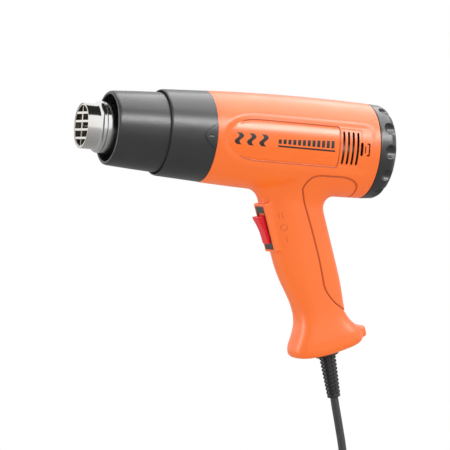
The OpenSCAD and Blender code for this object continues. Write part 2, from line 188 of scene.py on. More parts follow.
GRIP_TURN = Matrix.Rotation(-TILT, 4, "Y")


# ---- Camera ----

def add_camera():
    aim = Vector((-0.0695, 0, 0.0282))
    azimuth = math.radians(-21.56)
    roll = math.radians(4.51)
    distance = 2.0615
    data = bpy.data.cameras.new("camera")
    data.lens = 212.8
    data.sensor_width = 36
    camera = bpy.data.objects.new("camera", data)
    bpy.context.scene.collection.objects.link(camera)
    stand = aim + distance * Vector((math.sin(azimuth), -math.cos(azimuth), 0))
    level = Matrix.Rotation(azimuth, 4, "Z") @ Matrix.Rotation(math.pi / 2, 4, "X")
    camera.matrix_world = Matrix.Translation(stand) @ level @ Matrix.Rotation(roll, 4, "Z")
    bpy.context.scene.camera = camera


# ---- Node writing ----

def forward(operation):
    return lambda self, other: self.wiring.maths(operation, self, other)


def reflected(operation):
    return lambda self, other: self.wiring.maths(operation, other, self)


class Wire:
    """An output socket that arithmetic can be written on."""

    def __init__(self, wiring, socket):
        self.wiring = wiring
        self.socket = socket

    def __abs__(self):
        return self.wiring.maths("ABSOLUTE", self)

    def __neg__(self):
        return self.wiring.maths("MULTIPLY", self, -1)

    __add__, __radd__ = forward("ADD"), reflected("ADD")
    __sub__, __rsub__ = forward("SUBTRACT"), reflected("SUBTRACT")
    __mul__, __rmul__ = forward("MULTIPLY"), reflected("MULTIPLY")
    __truediv__, __rtruediv__ = forward("DIVIDE"), reflected("DIVIDE")
    __lt__, __gt__ = forward("LESS_THAN"), forward("GREATER_THAN")


class Wiring:
    """Adds nodes to one tree."""

    def __init__(self, tree):
        self.tree = tree

    def node(self, kind, settings=None, sockets=None):
        """One node: its settings first, then the values or wires of its input sockets, by name or number."""
        made = self.tree.nodes.new(kind)
        for key, value in (settings or {}).items():
            if key == "stops":
                ramp = made.color_ramp.elements
                while len(ramp) < len(value):
                    ramp.new(0.5)
                for element, (place, colour) in zip(ramp, value):
                    element.position = place
                    element.color = colour
            else:
                setattr(made, key, value)
        for key, value in (sockets or {}).items():
            self.feed(made.inputs[key], value)
        return made

    def feed(self, socket, value):
        if isinstance(value, Wire):
            self.tree.links.new(value.socket, socket)
        else:
            socket.default_value = value

    def out(self, node, name=0):
        return Wire(self, node.outputs[name])

    def maths(self, operation, *values):
        return self.out(self.node("ShaderNodeMath", {"operation": operation}, dict(enumerate(values))))

    def vector_maths(self, operation, *values):
        return self.out(self.node("ShaderNodeVectorMath", {"operation": operation}, dict(enumerate(values))))

    def smooth(self, low, high, value):
        """0 below low, 1 above high, and a soft step between."""
        return self.out(self.node(
            "ShaderNodeMapRange", {"interpolation_type": "SMOOTHSTEP"},
            {"Value": value, "From Min": low, "From Max": high}), "Result")


def rgba(colour):
    return (*colour, 1.0)


class Paint(Wiring):
    """One material, built round a Principled shader and Object coordinates in millimetres."""

    def __init__(self, name, colour, roughness, metallic=0.0, **uniform):
        self.material = bpy.data.materials.new(name)
        self.material.use_nodes = True
        super().__init__(self.material.node_tree)
        self.shader = self.tree.nodes["Principled BSDF"]
        self.set("Base Color", rgba(colour))
        self.set("Roughness", roughness)
        self.set("Metallic", metallic)
        for key, value in uniform.items():
            self.set(key.replace("_", " "), value)
        place = self.out(self.node("ShaderNodeTexCoord"), "Object")
        self.place = self.vector_maths("MULTIPLY", place, (1000, 1000, 1000))

    def set(self, name, value):
        self.feed(self.shader.inputs[name], value)

    def axes(self):
        split = self.node("ShaderNodeSeparateXYZ", {}, {0: self.place})
        return self.out(split, "X"), self.out(split, "Y"), self.out(split, "Z")

    def noise(self, size, detail=2.0, stretch=(1, 1, 1)):
        """Noise from about 0 to 1 whose blobs are about size millimetres across."""
        scaled = self.vector_maths("DIVIDE", self.place, [size * k for k in stretch])
        return self.out(self.node("ShaderNodeTexNoise", {}, {
            "Vector": scaled, "Scale": 1.0, "Detail": detail}))

    def grains(self, size):
        """Distance to the middle of the nearest grain, about 0 to 1."""
        scaled = self.vector_maths("DIVIDE", self.place, (size, size, size))
        return self.out(self.node("ShaderNodeTexVoronoi", {}, {"Vector": scaled, "Scale": 1.0}), "Distance")

    def mix(self, factor, first, second):
        """first where factor is 0, second where it is 1."""
        made = self.node("ShaderNodeMix", {"data_type": "RGBA"}, {0: factor})
        for key, colour in ((6, first), (7, second)):
            self.feed(made.inputs[key], colour if isinstance(colour, Wire) else rgba(colour))
        return self.out(made, 2)

    def bump(self, height, millimetres):
        bump = self.node("ShaderNodeBump", {}, {
            "Height": height, "Distance": millimetres * MM, "Strength": 1.0})
        self.set("Normal", self.out(bump))


# ---- Materials ----

def moulded(name, colour, roughness, grain=0.3, depth=0.02):
    """Moulded plastic: fine spark grain, a slow drift in gloss, and faint handling marks."""
    paint = Paint(name, colour, roughness)
    rub = paint.smooth(0.45, 0.75, paint.noise(22, 3))
    scuff = paint.smooth(0.62, 0.7, paint.noise(9, 6, (3, 1, 0.4)))
    paint.set("Roughness", roughness - 0.05 * rub + 0.08 * scuff)
    pale = [min(1, 1.06 * c + 0.006) for c in colour]
    paint.set("Base Color", paint.mix(rub * 0.5, colour, pale))
    paint.bump(paint.noise(grain, 3) + 0.25 * paint.noise(3.5, 2), depth)
    return paint


def orange_plastic(side):
    """The shells' orange, with painted shade that darkens it in the grooves. The left is printed with heat
    waves and a row of bars.
    """
    colour = (0.98, 0.168, 0.014)
    paint = Paint("orange_plastic_" + ("left" if side < 0 else "right"), colour, 0.36)
    x, y, z = paint.axes()
    s, up = x - TIP_X, z - AXIS_Z
    rub = paint.smooth(0.42, 0.75, paint.noise(26, 3))
    scuff = paint.smooth(0.63, 0.7, paint.noise(9, 6, (3, 1, 0.4)))
    # The smooth panel that carries the print is glossier than the spark-grained shell round it
    nose = paint.maths("MAXIMUM", NOSE_CENTRE - s, 0) / PLATE_NOSE
    height = up / PLATE_HALF
    across = paint.maths("SQRT", nose * nose + height * height)
    panel = (across < 1.0) * (s < PLATE_REAR)
    soft = paint.mix(rub * 0.5, colour, (1.0, 0.19, 0.024))
    grime = paint.smooth(0.6, 0.8, paint.noise(7, 5)) * 0.12
    soft = paint.mix(grime, soft, (0.62, 0.085, 0.02))
    # Painted shade: the grooves' stored depth, the crease attribute, darkens the orange in them in place of
    # their shadow
    crease = paint.out(paint.node("ShaderNodeAttribute", {"attribute_name": "crease"}), "Fac")
    soft = paint.mix(paint.smooth(0.15, 0.8, crease) * 0.75, soft, (0.42, 0.05, 0.006))
    rough = 0.37 - 0.05 * rub + 0.07 * scuff - 0.1 * panel
    if side < 0:
        worn = paint.smooth(0.3, 0.42, paint.noise(0.9, 4))
        ink = print_mask(paint, s, up) * (0.86 + 0.14 * worn)
        soft = paint.mix(ink, soft, (0.006, 0.006, 0.007))
        rough = rough + 0.12 * ink
    paint.set("Roughness", rough)
    paint.set("Base Color", soft)
    grain = paint.noise(0.32, 3) * (1 - 0.85 * panel)
    paint.bump(grain + 0.3 * paint.noise(4, 2), 0.022)
    return paint.material


def print_mask(paint, s, up):
    """Three rising heat waves, then a row of bars that grow to the rear, over a thin rule."""
    sway = paint.maths("SINE", up * 0.72) * 1.7
    mask = 0
    for centre in WAVE_PLACES:
        stroke = abs(s - centre - sway) < 2.0
        mask = mask + stroke * (abs(up) < WAVE_HALF_HEIGHT)
    step = paint.maths("FLOORED_MODULO", s - BARS_FRONT, 4.0)
    top = 1.8 + (s - BARS_FRONT) * 0.06
    bars = (step < 2.6) * (s > BARS_FRONT) * (s < BARS_REAR) * (up > -1.4) * (up < top)
    rule = (s > BARS_FRONT) * (s < BARS_REAR) * (up > -4.0) * (up < -2.7)
    return paint.maths("MINIMUM", mask + bars + rule, 1.0)


def dark_plastic():
    return moulded("dark_plastic", (0.028, 0.028, 0.03), 0.33, grain=0.4, depth=0.03).material


def nozzle_steel():
    """Polished steel, drawn along its length, straw coloured by heat near the tip and duller underneath."""
    paint = Paint("nozzle_steel", (0.86, 0.85, 0.83), 0.09, metallic=1.0)
    x, y, z = paint.axes()
    s = x - TIP_X
    heat = paint.smooth(14, 1, s) * 0.35 + 0.2 * paint.smooth(0.45, 0.7, paint.noise(9, 3))
    paint.set("Base Color", paint.mix(heat, (0.88, 0.88, 0.87), (0.8, 0.74, 0.64)))
    lines = paint.noise(0.25, 2, (40, 1, 1))
    low = paint.smooth(3, -4, z - AXIS_Z)
    paint.set("Roughness", 0.07 + 0.06 * lines + 0.2 * low)
    paint.bump(lines, 0.004)
    return paint.material


def plain_steel(name="plain_steel", colour=(0.55, 0.55, 0.55), roughness=0.32):
    paint = Paint(name, colour, roughness, metallic=1.0)
    stain = paint.smooth(0.5, 0.8, paint.noise(4, 4))
    paint.set("Base Color", paint.mix(stain * 0.5, colour, [0.7 * c for c in colour]))
    paint.set("Roughness", roughness + 0.14 * stain)
    paint.bump(paint.noise(0.3, 3), 0.008)
    return paint.material


def black_gloss():
    return moulded("black_gloss", (0.02, 0.02, 0.021), 0.28, grain=0.6, depth=0.006).material


def red_gloss():
    paint = Paint("red_gloss", (0.78, 0.004, 0.014), 0.24, Specular_IOR_Level=0.3)
    rub = paint.smooth(0.4, 0.8, paint.noise(4, 3))
    paint.set("Base Color", paint.mix(rub * 0.5, (0.76, 0.004, 0.012), (0.84, 0.008, 0.022)))
    paint.set("Roughness", 0.22 + 0.1 * rub)
    paint.bump(paint.noise(1.4, 2), 0.005)
    return paint.material


def rubber(name, shade, roughness=0.5):
    colour = (shade, shade, shade * 1.03)
    paint = moulded(name, colour, roughness, grain=0.5, depth=0.025)
    dust = paint.smooth(0.55, 0.8, paint.noise(5, 5))
    paint.set("Base Color", paint.mix(dust * 0.35, colour, (0.09, 0.088, 0.084)))
    return paint.material


def copper():
    paint = Paint("copper", (0.72, 0.36, 0.2), 0.3, metallic=1.0)
    tarnish = paint.smooth(0.45, 0.75, paint.noise(1.6, 4))
    paint.set("Base Color", paint.mix(tarnish * 0.6, (0.75, 0.38, 0.2), (0.36, 0.17, 0.09)))
    paint.set("Roughness", 0.26 + 0.25 * tarnish)
    paint.bump(paint.noise(0.25, 2), 0.01)
    return paint.material


def mica():
    paint = Paint("mica", (0.16, 0.12, 0.08), 0.35)
    flake = paint.smooth(0.35, 0.7, paint.noise(2.2, 5, (1.5, 1, 1)))
    paint.set("Base Color", paint.mix(flake, (0.1, 0.075, 0.045), (0.2, 0.16, 0.11)))
    paint.set("Roughness", 0.28 + 0.3 * flake)
    paint.bump(flake, 0.03)
    return paint.material


def ceramic_magnet():
    paint = Paint("magnet", (0.09, 0.09, 0.1), 0.6)
    speck = paint.smooth(0.1, 0.4, paint.grains(0.5))
    paint.set("Base Color", paint.mix(speck, (0.06, 0.06, 0.065), (0.13, 0.13, 0.14)))
    paint.set("Roughness", 0.5 + 0.2 * speck)
    paint.bump(speck, 0.02)
    return paint.material


def circuit_board():
    paint = Paint("circuit_board", (0.03, 0.2, 0.07), 0.3)
    weave = paint.smooth(0.3, 0.7, paint.noise(0.6, 2, (6, 1, 1)))
    paint.set("Base Color", paint.mix(weave, (0.02, 0.15, 0.05), (0.05, 0.28, 0.1)))
    paint.set("Roughness", 0.25 + 0.2 * weave)
    paint.bump(weave, 0.01)
    return paint.material


# ---- Stage ----

def grey(level):
    return (level, level, level, 1)


def add_stage():
    """A room that is white where it is seen, shaded from floor to ceiling in soft light and in gloss."""
    scene = bpy.context.scene
    scene.view_settings.view_transform = "Standard"
    scene.view_settings.look = "None"
    world = bpy.data.worlds.new("room")
    scene.world = world
    world.use_nodes = True
    w = Wiring(world.node_tree)
    background = world.node_tree.nodes["Background"]
    ray = w.node("ShaderNodeLightPath")
    way = w.node("ShaderNodeSeparateXYZ", {}, {0: w.out(w.node("ShaderNodeTexCoord"), "Generated")})
    height = w.out(way, "Z")
    # Seen in gloss, a dark gap stands to the front left, between the white walls
    bearing = w.maths("ARCTAN2", -w.out(way, "X"), -w.out(way, "Y"))
    gap = w.smooth(0.28, 0.14, abs(bearing - DARK_GAP_BEARING)) * w.smooth(0.93, 0.8, abs(height))
    glossy = w.node("ShaderNodeValToRGB", {"stops": [
        (0.0, grey(0.3)), (0.38, grey(0.44)), (0.425, grey(0.5)), (0.455, grey(0.95)), (0.885, grey(1.0)),
        (0.905, grey(0.03)), (1.0, grey(0.02))]}, {0: height * 0.5 + 0.5})
    shaped = w.node("ShaderNodeMix", {"data_type": "RGBA"}, {0: gap * 0.95, 6: w.out(glossy), 7: grey(0.02)})
    diffuse = w.node("ShaderNodeValToRGB", {"stops": [
        (0.0, grey(0.92)), (0.5, grey(1.03)), (1.0, grey(1.2))]}, {0: height * 0.5 + 0.5})
    pick = w.node("ShaderNodeMix", {"data_type": "RGBA"}, {
        0: w.out(ray, "Is Diffuse Ray"), 6: w.out(shaped, 2), 7: w.out(diffuse)})
    shown = w.node("ShaderNodeMix", {"data_type": "RGBA"}, {
        0: w.out(ray, "Is Camera Ray"), 6: w.out(pick, 2), 7: (1, 1, 1, 1)})
    w.feed(background.inputs["Color"], w.out(shown, 2))


def add_soft_box(name, place, aim, size, power):
    """An area light in metres, aimed at a point and seen only in gloss."""
    data = bpy.data.lights.new(name, "AREA")
    data.shape = "RECTANGLE"
    data.size, data.size_y = size
    data.energy = power
    lamp = bpy.data.objects.new(name, data)
    bpy.context.scene.collection.objects.link(lamp)
    place = Vector(place)
    turn = (Vector(aim) - place).to_track_quat("-Z", "Y").to_matrix().to_4x4()
    lamp.matrix_world = Matrix.Translation(place) @ turn
    lamp.visible_diffuse = False
    lamp.visible_camera = False
    return lamp


def add_lights():
    """Soft boxes over the barrel and to the left, and the list of pieces that they skip."""
    middle = (-0.08, 0, 0.095)
    boxes = [
        add_soft_box("over", (0.47, 0.18, 1.48), middle, (1.9, 1.6), 42),
        add_soft_box("front_top", (0.47, -1.11, 0.93), middle, (1.9, 0.27), 33),
        add_soft_box("left_strip", (-1.3, 0.45, 0.1), (0, 0, 0), (0.4, 1.0), 10),
    ]
    skipped = bpy.data.collections.new("steel_at_the_outlet")
    for box in boxes:
        box.light_linking.receiver_collection = skipped
    return skipped


def add_floor():
    """A pale round floor under the coil."""
    mesh = bpy.data.meshes.new("floor")
    made = bmesh.new()
    bmesh.ops.create_circle(made, cap_ends=True, segments=96, radius=FLOOR_R)
    bmesh.ops.translate(made, verts=made.verts, vec=(0, 0, FLOOR_Z))
    made.to_mesh(mesh)
    made.free()
    floor = bpy.data.objects.new("floor", mesh)
    bpy.context.scene.collection.objects.link(floor)
    paint = Paint("floor_paper", (0.86, 0.86, 0.85), 0.8)
    paint.bump(paint.noise(6, 3), 0.05)
    mesh.materials.append(paint.material)
    floor.visible_glossy = False


# ---- Mesh making ----

def piece_from(name, points, faces, material, smooth=True):
    """A piece from points in millimetres."""
    mesh = bpy.data.meshes.new(name)
    places = [tuple(float(c) * MM for c in p) for p in points]
    mesh.from_pydata(places, [], [tuple(map(int, f)) for f in faces])
    mesh.validate()
    return piece_of(name, mesh, material, smooth)


def piece_of(name, mesh, material, smooth=True):
    mesh.materials.clear()
    mesh.materials.append(material)
    mesh.polygons.foreach_set("use_smooth", [smooth] * len(mesh.polygons))
    piece = bpy.data.objects.new(name, mesh)
    bpy.context.scene.collection.objects.link(piece)
    return piece


def finished(piece, sharp=40):
    """Applies live modifiers, marks edges sharper than an angle, and leaves a plain mesh."""
    bpy.context.view_layer.update()
    graph = bpy.context.evaluated_depsgraph_get()
    mesh = bpy.data.meshes.new_from_object(piece.evaluated_get(graph))
    piece.modifiers.clear()
    piece.data = mesh
    mesh.set_sharp_from_angle(angle=math.radians(sharp))
    return piece


def place(piece, body, slot, *nodes):
    """Rides a finished piece on its body, in place of its CAD nodes."""
    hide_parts(*nodes)
    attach(piece, body)
    return piece


def rounded(points, radius, steps=4):
    """A closed outline with its corners rounded. A third number in a point is its own radius."""
    made = []
    count = len(points)
    for i in range(count):
        here = np.array(points[i][:2], float)
        r = points[i][2] if len(points[i]) > 2 else radius
        before = np.array(points[i - 1][:2], float) - here
        after = np.array(points[(i + 1) % count][:2], float) - here
        a, b = np.linalg.norm(before), np.linalg.norm(after)
        reach = min(r, a * 0.45, b * 0.45)
        p, q = here + before / a * reach, here + after / b * reach
        if reach < 0.02:
            made.append(here)
            continue
        for k in range(steps + 1):
            t = k / steps
            made.append((1 - t) ** 2 * p + 2 * t * (1 - t) * here + t ** 2 * q)
    return made


def lathe(name, outline, material, sides, lay):
    """A turned piece from a closed outline of (radius, place) points. lay puts a radius, angle and place."""
    points, faces = [], []
    count = len(outline)
    for i in range(sides):
        a = 2 * math.pi * i / sides
        points += [lay(r, a, s) for r, s in outline]
        for j in range(count):
            k, n = (j + 1) % count, (i + 1) % sides
            faces.append((i * count + j, i * count + k, n * count + k, n * count + j))
    piece = piece_from(name, points, faces, material)
    face_out(piece.data)
    piece.data.set_sharp_from_angle(angle=math.radians(35))
    return piece


def turned(name, outline, material, sides=128):
    """A turned piece on the barrel's axis, from (radius, place back from the nozzle tip) points."""
    return lathe(name, outline, material, sides,
                 lambda r, a, s: (TIP_X + s, r * math.cos(a), AXIS_Z + r * math.sin(a)))


def spun(name, outline, material, turn, sides=64):
    """A turned piece about Z of its own frame, from (radius, height) points."""
    return lathe(name, outline, material, sides,
                 lambda r, a, h: tuple(turn @ Vector((r * math.cos(a), r * math.sin(a), h))))


def prism_faces(n):
    """Two ends and the sides between two loops of n points."""
    sides = [(i, i + n, (i + 1) % n + n, (i + 1) % n) for i in range(n)]
    return [tuple(range(n)), tuple(range(2 * n - 1, n - 1, -1)), *sides]


def face_out(mesh):
    """Joins doubled points and turns every face outwards."""
    made = bmesh.new()
    made.from_mesh(mesh)
    bmesh.ops.remove_doubles(made, verts=made.verts, dist=1e-7)
    bmesh.ops.recalc_face_normals(made, faces=made.faces)
    made.to_mesh(mesh)
    made.free()


# ---- Shapes as fields: negative inside, zero on the surface, about a distance in millimetres near it ----

def meet(a, b, r):
    """What two fields share, with its edge rounded to r."""
    return np.where((a > -r) & (b > -r), np.hypot(a + r, b + r) - r, np.maximum(a, b))


def join(a, b, r):
    """Two fields together, with a fillet of r between them."""
    return -meet(-a, -b, r)


def carve(a, b, r):
    """The first field less the second, with the edge rounded to r."""
    return meet(a, -b, r)


def block(p, centre, half, r):
    """A box with rounded edges, in any number of dimensions."""
    q = np.abs(p - np.array(centre, float)) - np.array(half, float) + r
    return np.linalg.norm(np.maximum(q, 0), axis=-1) + np.minimum(q.max(-1), 0) - r


def soft_step(t):
    """0 below 0, 1 above 1, and an even bend between."""
    t = np.clip(t, 0, 1)
    return t * t * (3 - 2 * t)


def groove(gap, half, depth):
    """How far a groove cuts in, from the distance to its middle."""
    return depth * np.exp(-(gap / half) ** 2)


def spline(places, values, at):
    """A smooth curve through values at rising places, read at many points."""
    slopes = np.gradient(values, places, axis=0)
    at = np.clip(at, places[0], places[-1])
    i = np.clip(np.searchsorted(places, at) - 1, 0, len(places) - 2)
    span = (places[i + 1] - places[i])[:, None]
    t = ((at - places[i]) / span[:, 0])[:, None]
    return ((2 * t ** 3 - 3 * t ** 2 + 1) * values[i] + (t ** 3 - 2 * t ** 2 + t) * span * slopes[i]
            + (3 * t ** 2 - 2 * t ** 3) * values[i + 1] + (t ** 3 - t ** 2) * span * slopes[i + 1])


def smooth_line(points, steps):
    """Points along a smooth curve through given ones."""
    points = np.array(points, float)
    padded = np.vstack([2 * points[0] - points[1], points, 2 * points[-1] - points[-2]])
    made = []
    for i in range(len(points) - 1):
        a, b, c, d = padded[i:i + 4]
        for t in np.arange(steps) / steps:
            made.append(0.5 * (2 * b + (c - a) * t + (2 * a - 5 * b + 4 * c - d) * t ** 2
                               + (3 * b - a - 3 * c + d) * t ** 3))
    return np.array(made + [points[-1]])


def line_gap(a, b, line):
    """Distance in a plane from many points to a line of short runs."""
    nearest = np.full(a.shape, 1e9)
    for (a0, b0), (a1, b1) in zip(line[:-1], line[1:]):
        da, db = a1 - a0, b1 - b0
        t = np.clip(((a - a0) * da + (b - b0) * db) / (da * da + db * db), 0, 1)
        nearest = np.minimum(nearest, np.hypot(a - a0 - t * da, b - b0 - t * db))
    return nearest


def slope_of(field, p):
    """The way a field grows at each point, from small steps to either side."""
    e = 0.02
    steps = np.eye(3) * e
    return np.stack([(field(p + d) - field(p - d)) / (2 * e) for d in steps], -1)


def settle(field, p, rounds, reach):
    """Moves points onto a field's surface, by no more than reach each round."""
    for _ in range(rounds):
        g = slope_of(field, p)
        size = np.maximum((g * g).sum(-1, keepdims=True), 0.05)
        move = -field(p)[:, None] * g / size
        length = np.maximum(np.linalg.norm(move, axis=-1, keepdims=True), 1e-9)
        p = p + move * np.minimum(1, reach / length)
    return p


def skin_of(field, low, high, pitch):
    """Points and four-sided faces on a field's surface: one point for each cell that the surface crosses."""
    axes = [np.arange(a, b + pitch, pitch) for a, b in zip(low, high)]
    grid = np.stack(np.meshgrid(*axes, indexing="ij"), -1)
    shape = grid.shape[:3]
    value = field(grid.reshape(-1, 3)).reshape(shape)
    cells = tuple(n - 1 for n in shape)
    total = np.zeros(cells + (3,))
    count = np.zeros(cells, int)
    quads = []
    for axis in range(3):
        one, two = (axis + 1) % 3, (axis + 2) % 3
        first = tuple(slice(0, -1) if k == axis else slice(1, -1) for k in range(3))
        second = tuple(slice(1, None) if k == axis else slice(1, -1) for k in range(3))
        va, vb = value[first], value[second]
        spots = np.argwhere((va < 0) != (vb < 0))
        a, b = va[tuple(spots.T)], vb[tuple(spots.T)]
        spots = spots + np.array([0 if k == axis else 1 for k in range(3)])
        point = np.array([axes[k][spots[:, k]] for k in range(3)]).T
        point[:, axis] += pitch * a / (a - b)
        ring = []
        for d_one, d_two in ((-1, -1), (0, -1), (0, 0), (-1, 0)):
            cell = spots.copy()
            cell[:, one] += d_one
            cell[:, two] += d_two
            np.add.at(total, tuple(cell.T), point)
            np.add.at(count, tuple(cell.T), 1)
            ring.append(np.ravel_multi_index(tuple(cell.T), cells))
        ring = np.array(ring).T
        ring[a >= 0] = ring[a >= 0, ::-1]
        quads.append(ring)
    quads = np.concatenate(quads)
    used = np.unique(quads)
    points = total.reshape(-1, 3)[used] / count.reshape(-1)[used, None]
    return points, np.searchsorted(used, quads)


def refined(points, faces, fineness, rounds):
    """Splits edges longer than the fineness wanted at their middle. Returns a bmesh in millimetres."""
    made = bmesh.new()
    for p in points:
        made.verts.new(p)
    made.verts.ensure_lookup_table()
    for f in faces:
        made.faces.new([made.verts[i] for i in f])
    bmesh.ops.triangulate(made, faces=made.faces)
    for _ in range(rounds):
        made.verts.index_update()
        made.edges.index_update()
        co = np.array([v.co[:] for v in made.verts])
        ends = np.array([(e.verts[0].index, e.verts[1].index) for e in made.edges])
        middle = (co[ends[:, 0]] + co[ends[:, 1]]) / 2
        lengths = np.linalg.norm(co[ends[:, 0]] - co[ends[:, 1]], axis=1)
        made.edges.ensure_lookup_table()
        chosen = [made.edges[i] for i in np.nonzero(lengths > 1.45 * fineness(middle))[0]]
        if not chosen:
            break
        bmesh.ops.subdivide_edges(made, edges=chosen, cuts=1, use_grid_fill=True)
        bmesh.ops.triangulate(made, faces=[f for f in made.faces if len(f.verts) > 3])
    return made


def settle_verts(made, field, rounds, reach):
    """Moves a bmesh's own points onto a field's surface."""
    co = settle(field, np.array([v.co[:] for v in made.verts]), rounds, reach)
    for v, p in zip(made.verts, co):
        v.co = p


def carved(name, field, low, high, pitch, material, fineness=None, turn=None):
    """A closed piece from a field. turn takes its own frame to the row frame, in millimetres."""
    points, faces = skin_of(field, low, high, pitch)
    points = settle(field, points, 3, pitch)
    made = refined(points, faces, fineness, 3 if fineness else 0)
    settle_verts(made, field, 3, pitch / 3)
    if turn is not None:
        bmesh.ops.transform(made, matrix=turn, verts=made.verts)
    bmesh.ops.scale(made, vec=(MM, MM, MM), verts=made.verts)
    mesh = bpy.data.meshes.new(name)
    made.to_mesh(mesh)
    made.free()
    piece = piece_of(name, mesh, material)
    mesh.set_sharp_from_angle(angle=math.radians(45))
    return piece


# ---- Shells ----

def barrel_at(s):
    """The barrel's slightly crowned radius at a place."""
    return CROWN_R - (s - CROWN_S) ** 2 / (2 * CROWN_CURVE)


def handle_field(u, y, h):
    """The oval handle with its front facets and rounded foot."""
    order = np.argsort(HANDLE_LINES[:, 0])
    rows = spline(HANDLE_LINES[order, 0], HANDLE_LINES[order, 1:], h)
    front, rear, half, crease = rows.T
    middle, reach = (front + rear) / 2, (rear - front) / 2
    a, b = np.abs(u - middle) / reach, np.abs(y) / half
    n = HANDLE_POWER
    q = np.maximum((a ** n + b ** n) ** (1 / n), 1e-6)
    slope = np.hypot(a ** (n - 1) / reach, b ** (n - 1) / half) * q ** (1 - n)
    oval = (q - 1) / np.maximum(slope, 1e-3)
    side = np.abs(y) - FACET_SET_IN * half
    facet = side * math.cos(FACET_ANGLE) - (u - crease) * math.sin(FACET_ANGLE)
    body = meet(oval, facet, FACET_ROUND)
    foot = -h - FOOT_H + np.where(u < 1, 0.0036, 0.0016) * (u - 1) ** 2
    return meet(meet(body, foot, FOOT_EDGE), h - 82, 1)


def shell_base(p):
    """Barrel and handle, without their trim."""
    x, y, z = p.T
    u, h = grip_frame(x, z)
    barrel = np.hypot(y, z - AXIS_Z) - barrel_at(x - TIP_X)
    return join(barrel, handle_field(u, y, h), 10.4 + 3.4 * np.tanh(u / 8))


def shell_body(p):
    """The outside with the switch's collar and the heel's pad, still without grooves."""
    x, y, z = p.T
    u, h = grip_frame(x, z)
    grip = np.stack([u, y, h], -1)
    collar = block(grip, COLLAR_CENTRE, COLLAR_HALF, 1.1)
    pad = block(grip, (29.3, 0, -61.4), (5.7, 8.5, 4.6), 2.4)
    return join(join(shell_base(p), collar, 1.0), pad, 2.5)


# The groove round the rear panel, from under the vents down the handle, by place and height over the axis
BACKSTRAP = smooth_line([
    (223.8, -39), (223.3, -35.3), (221.7, -29.2), (216.6, -24.9), (208.2, -22.9), (197, -23), (186.6, -23.4),
    (180.2, -26.5), (177.2, -33.4), (178.4, -37.3), (182.7, -48.1), (190.1, -66.4), (197.6, -86.9),
    (202, -101.1), (205.2, -110.8), (212.7, -119.5), (220.6, -124.1), (231, -128.4)], 3)


def mark_gap(u, h):
    """Distance to the switch marks: two strokes, a ring and one stroke."""
    strokes = [((-15.2, 43.5), (-15.2, 48.5)), ((-12.8, 43.5), (-12.8, 48.5)), ((-14, 24.5), (-14, 29.5))]
    gap = np.abs(np.hypot(u + 14, h - 36.5) - 2.3)
    for stroke in strokes:
        gap = np.minimum(gap, line_gap(u, h, stroke))
    return gap


def side_trim(p):
    """Depth of the sides' recesses, depth of their narrow grooves, and the distance to the nearest edge."""
    x, y, z = p.T
    s, up = x - TIP_X, z - AXIS_Z
    u, h = grip_frame(x, z)
    nose = np.maximum(0, NOSE_CENTRE - s)
    inner = (np.hypot(nose / PLATE_NOSE, up / PLATE_HALF) - 1) * PLATE_HALF
    outer = (np.hypot(nose / RECESS_NOSE, up / RECESS_HALF) - 1) * RECESS_HALF
    plate_edge = np.abs(meet(inner, s - PLATE_REAR, 2))
    band_in = meet(inner, s - RECESS_FLOOR_REAR, 5)
    band_out = meet(outer, s - RECESS_RIM_REAR, 8)
    blend = band_in / np.maximum(band_in - band_out, 1e-6)
    across = np.where(band_in <= 0, 0, np.where(band_out >= 0, 1, blend))
    recess = RECESS_DEPTH * (1 - soft_step(across))
    fade = soft_step((s - 113) / 10)
    panel = block(np.stack([s, up], -1), VENT_PANEL_CENTRE, VENT_PANEL_HALF, 1)
    recess += 0.35 * (1 - soft_step((panel + 0.35) / 0.7))
    strap = line_gap(s, up, BACKSTRAP)
    marks = np.where(np.abs(y) > 4, mark_gap(u, h), 99)
    crease = groove(plate_edge, 0.5, 0.5) * fade + groove(strap, 0.6, 0.8) + groove(marks, 0.42, 0.32)
    gap = np.minimum.reduce([plate_edge + 3 * (1 - fade), np.abs(panel), strap, marks])
    return recess, crease, gap


def trim_depth(p):
    """How far the surface sinks in for recesses, grooves, the seam and the two ends' edges."""
    recess, crease, _ = side_trim(p)
    y, s = p[:, 1], p[:, 0] - TIP_X
    seam = groove(y, 0.42, 0.3)
    ends = (groove(s - SHELL_FRONT, 0.5, 0.35) + groove(s - SHELL_REAR, 0.5, 0.35)) * (p[:, 2] > 40)
    return recess + crease + seam + ends


def shell_fineness(p):
    """How long an edge may be: short by the grooves, the seam and the switch's collar."""
    gap = side_trim(p)[2]
    x, y, z = p.T
    u, h = grip_frame(x, z)
    grip = np.stack([u, y, h], -1)
    collar = np.abs(block(grip, COLLAR_CENTRE, COLLAR_HALF, 0))
    gap = np.minimum(gap, np.maximum(np.abs(y) * 1.2, 0.4))
    gap = np.minimum(gap, collar * 0.8 + 0.5)
    return np.clip(0.3 + 0.42 * np.maximum(gap - 0.7, 0), 0.3, 1.6)


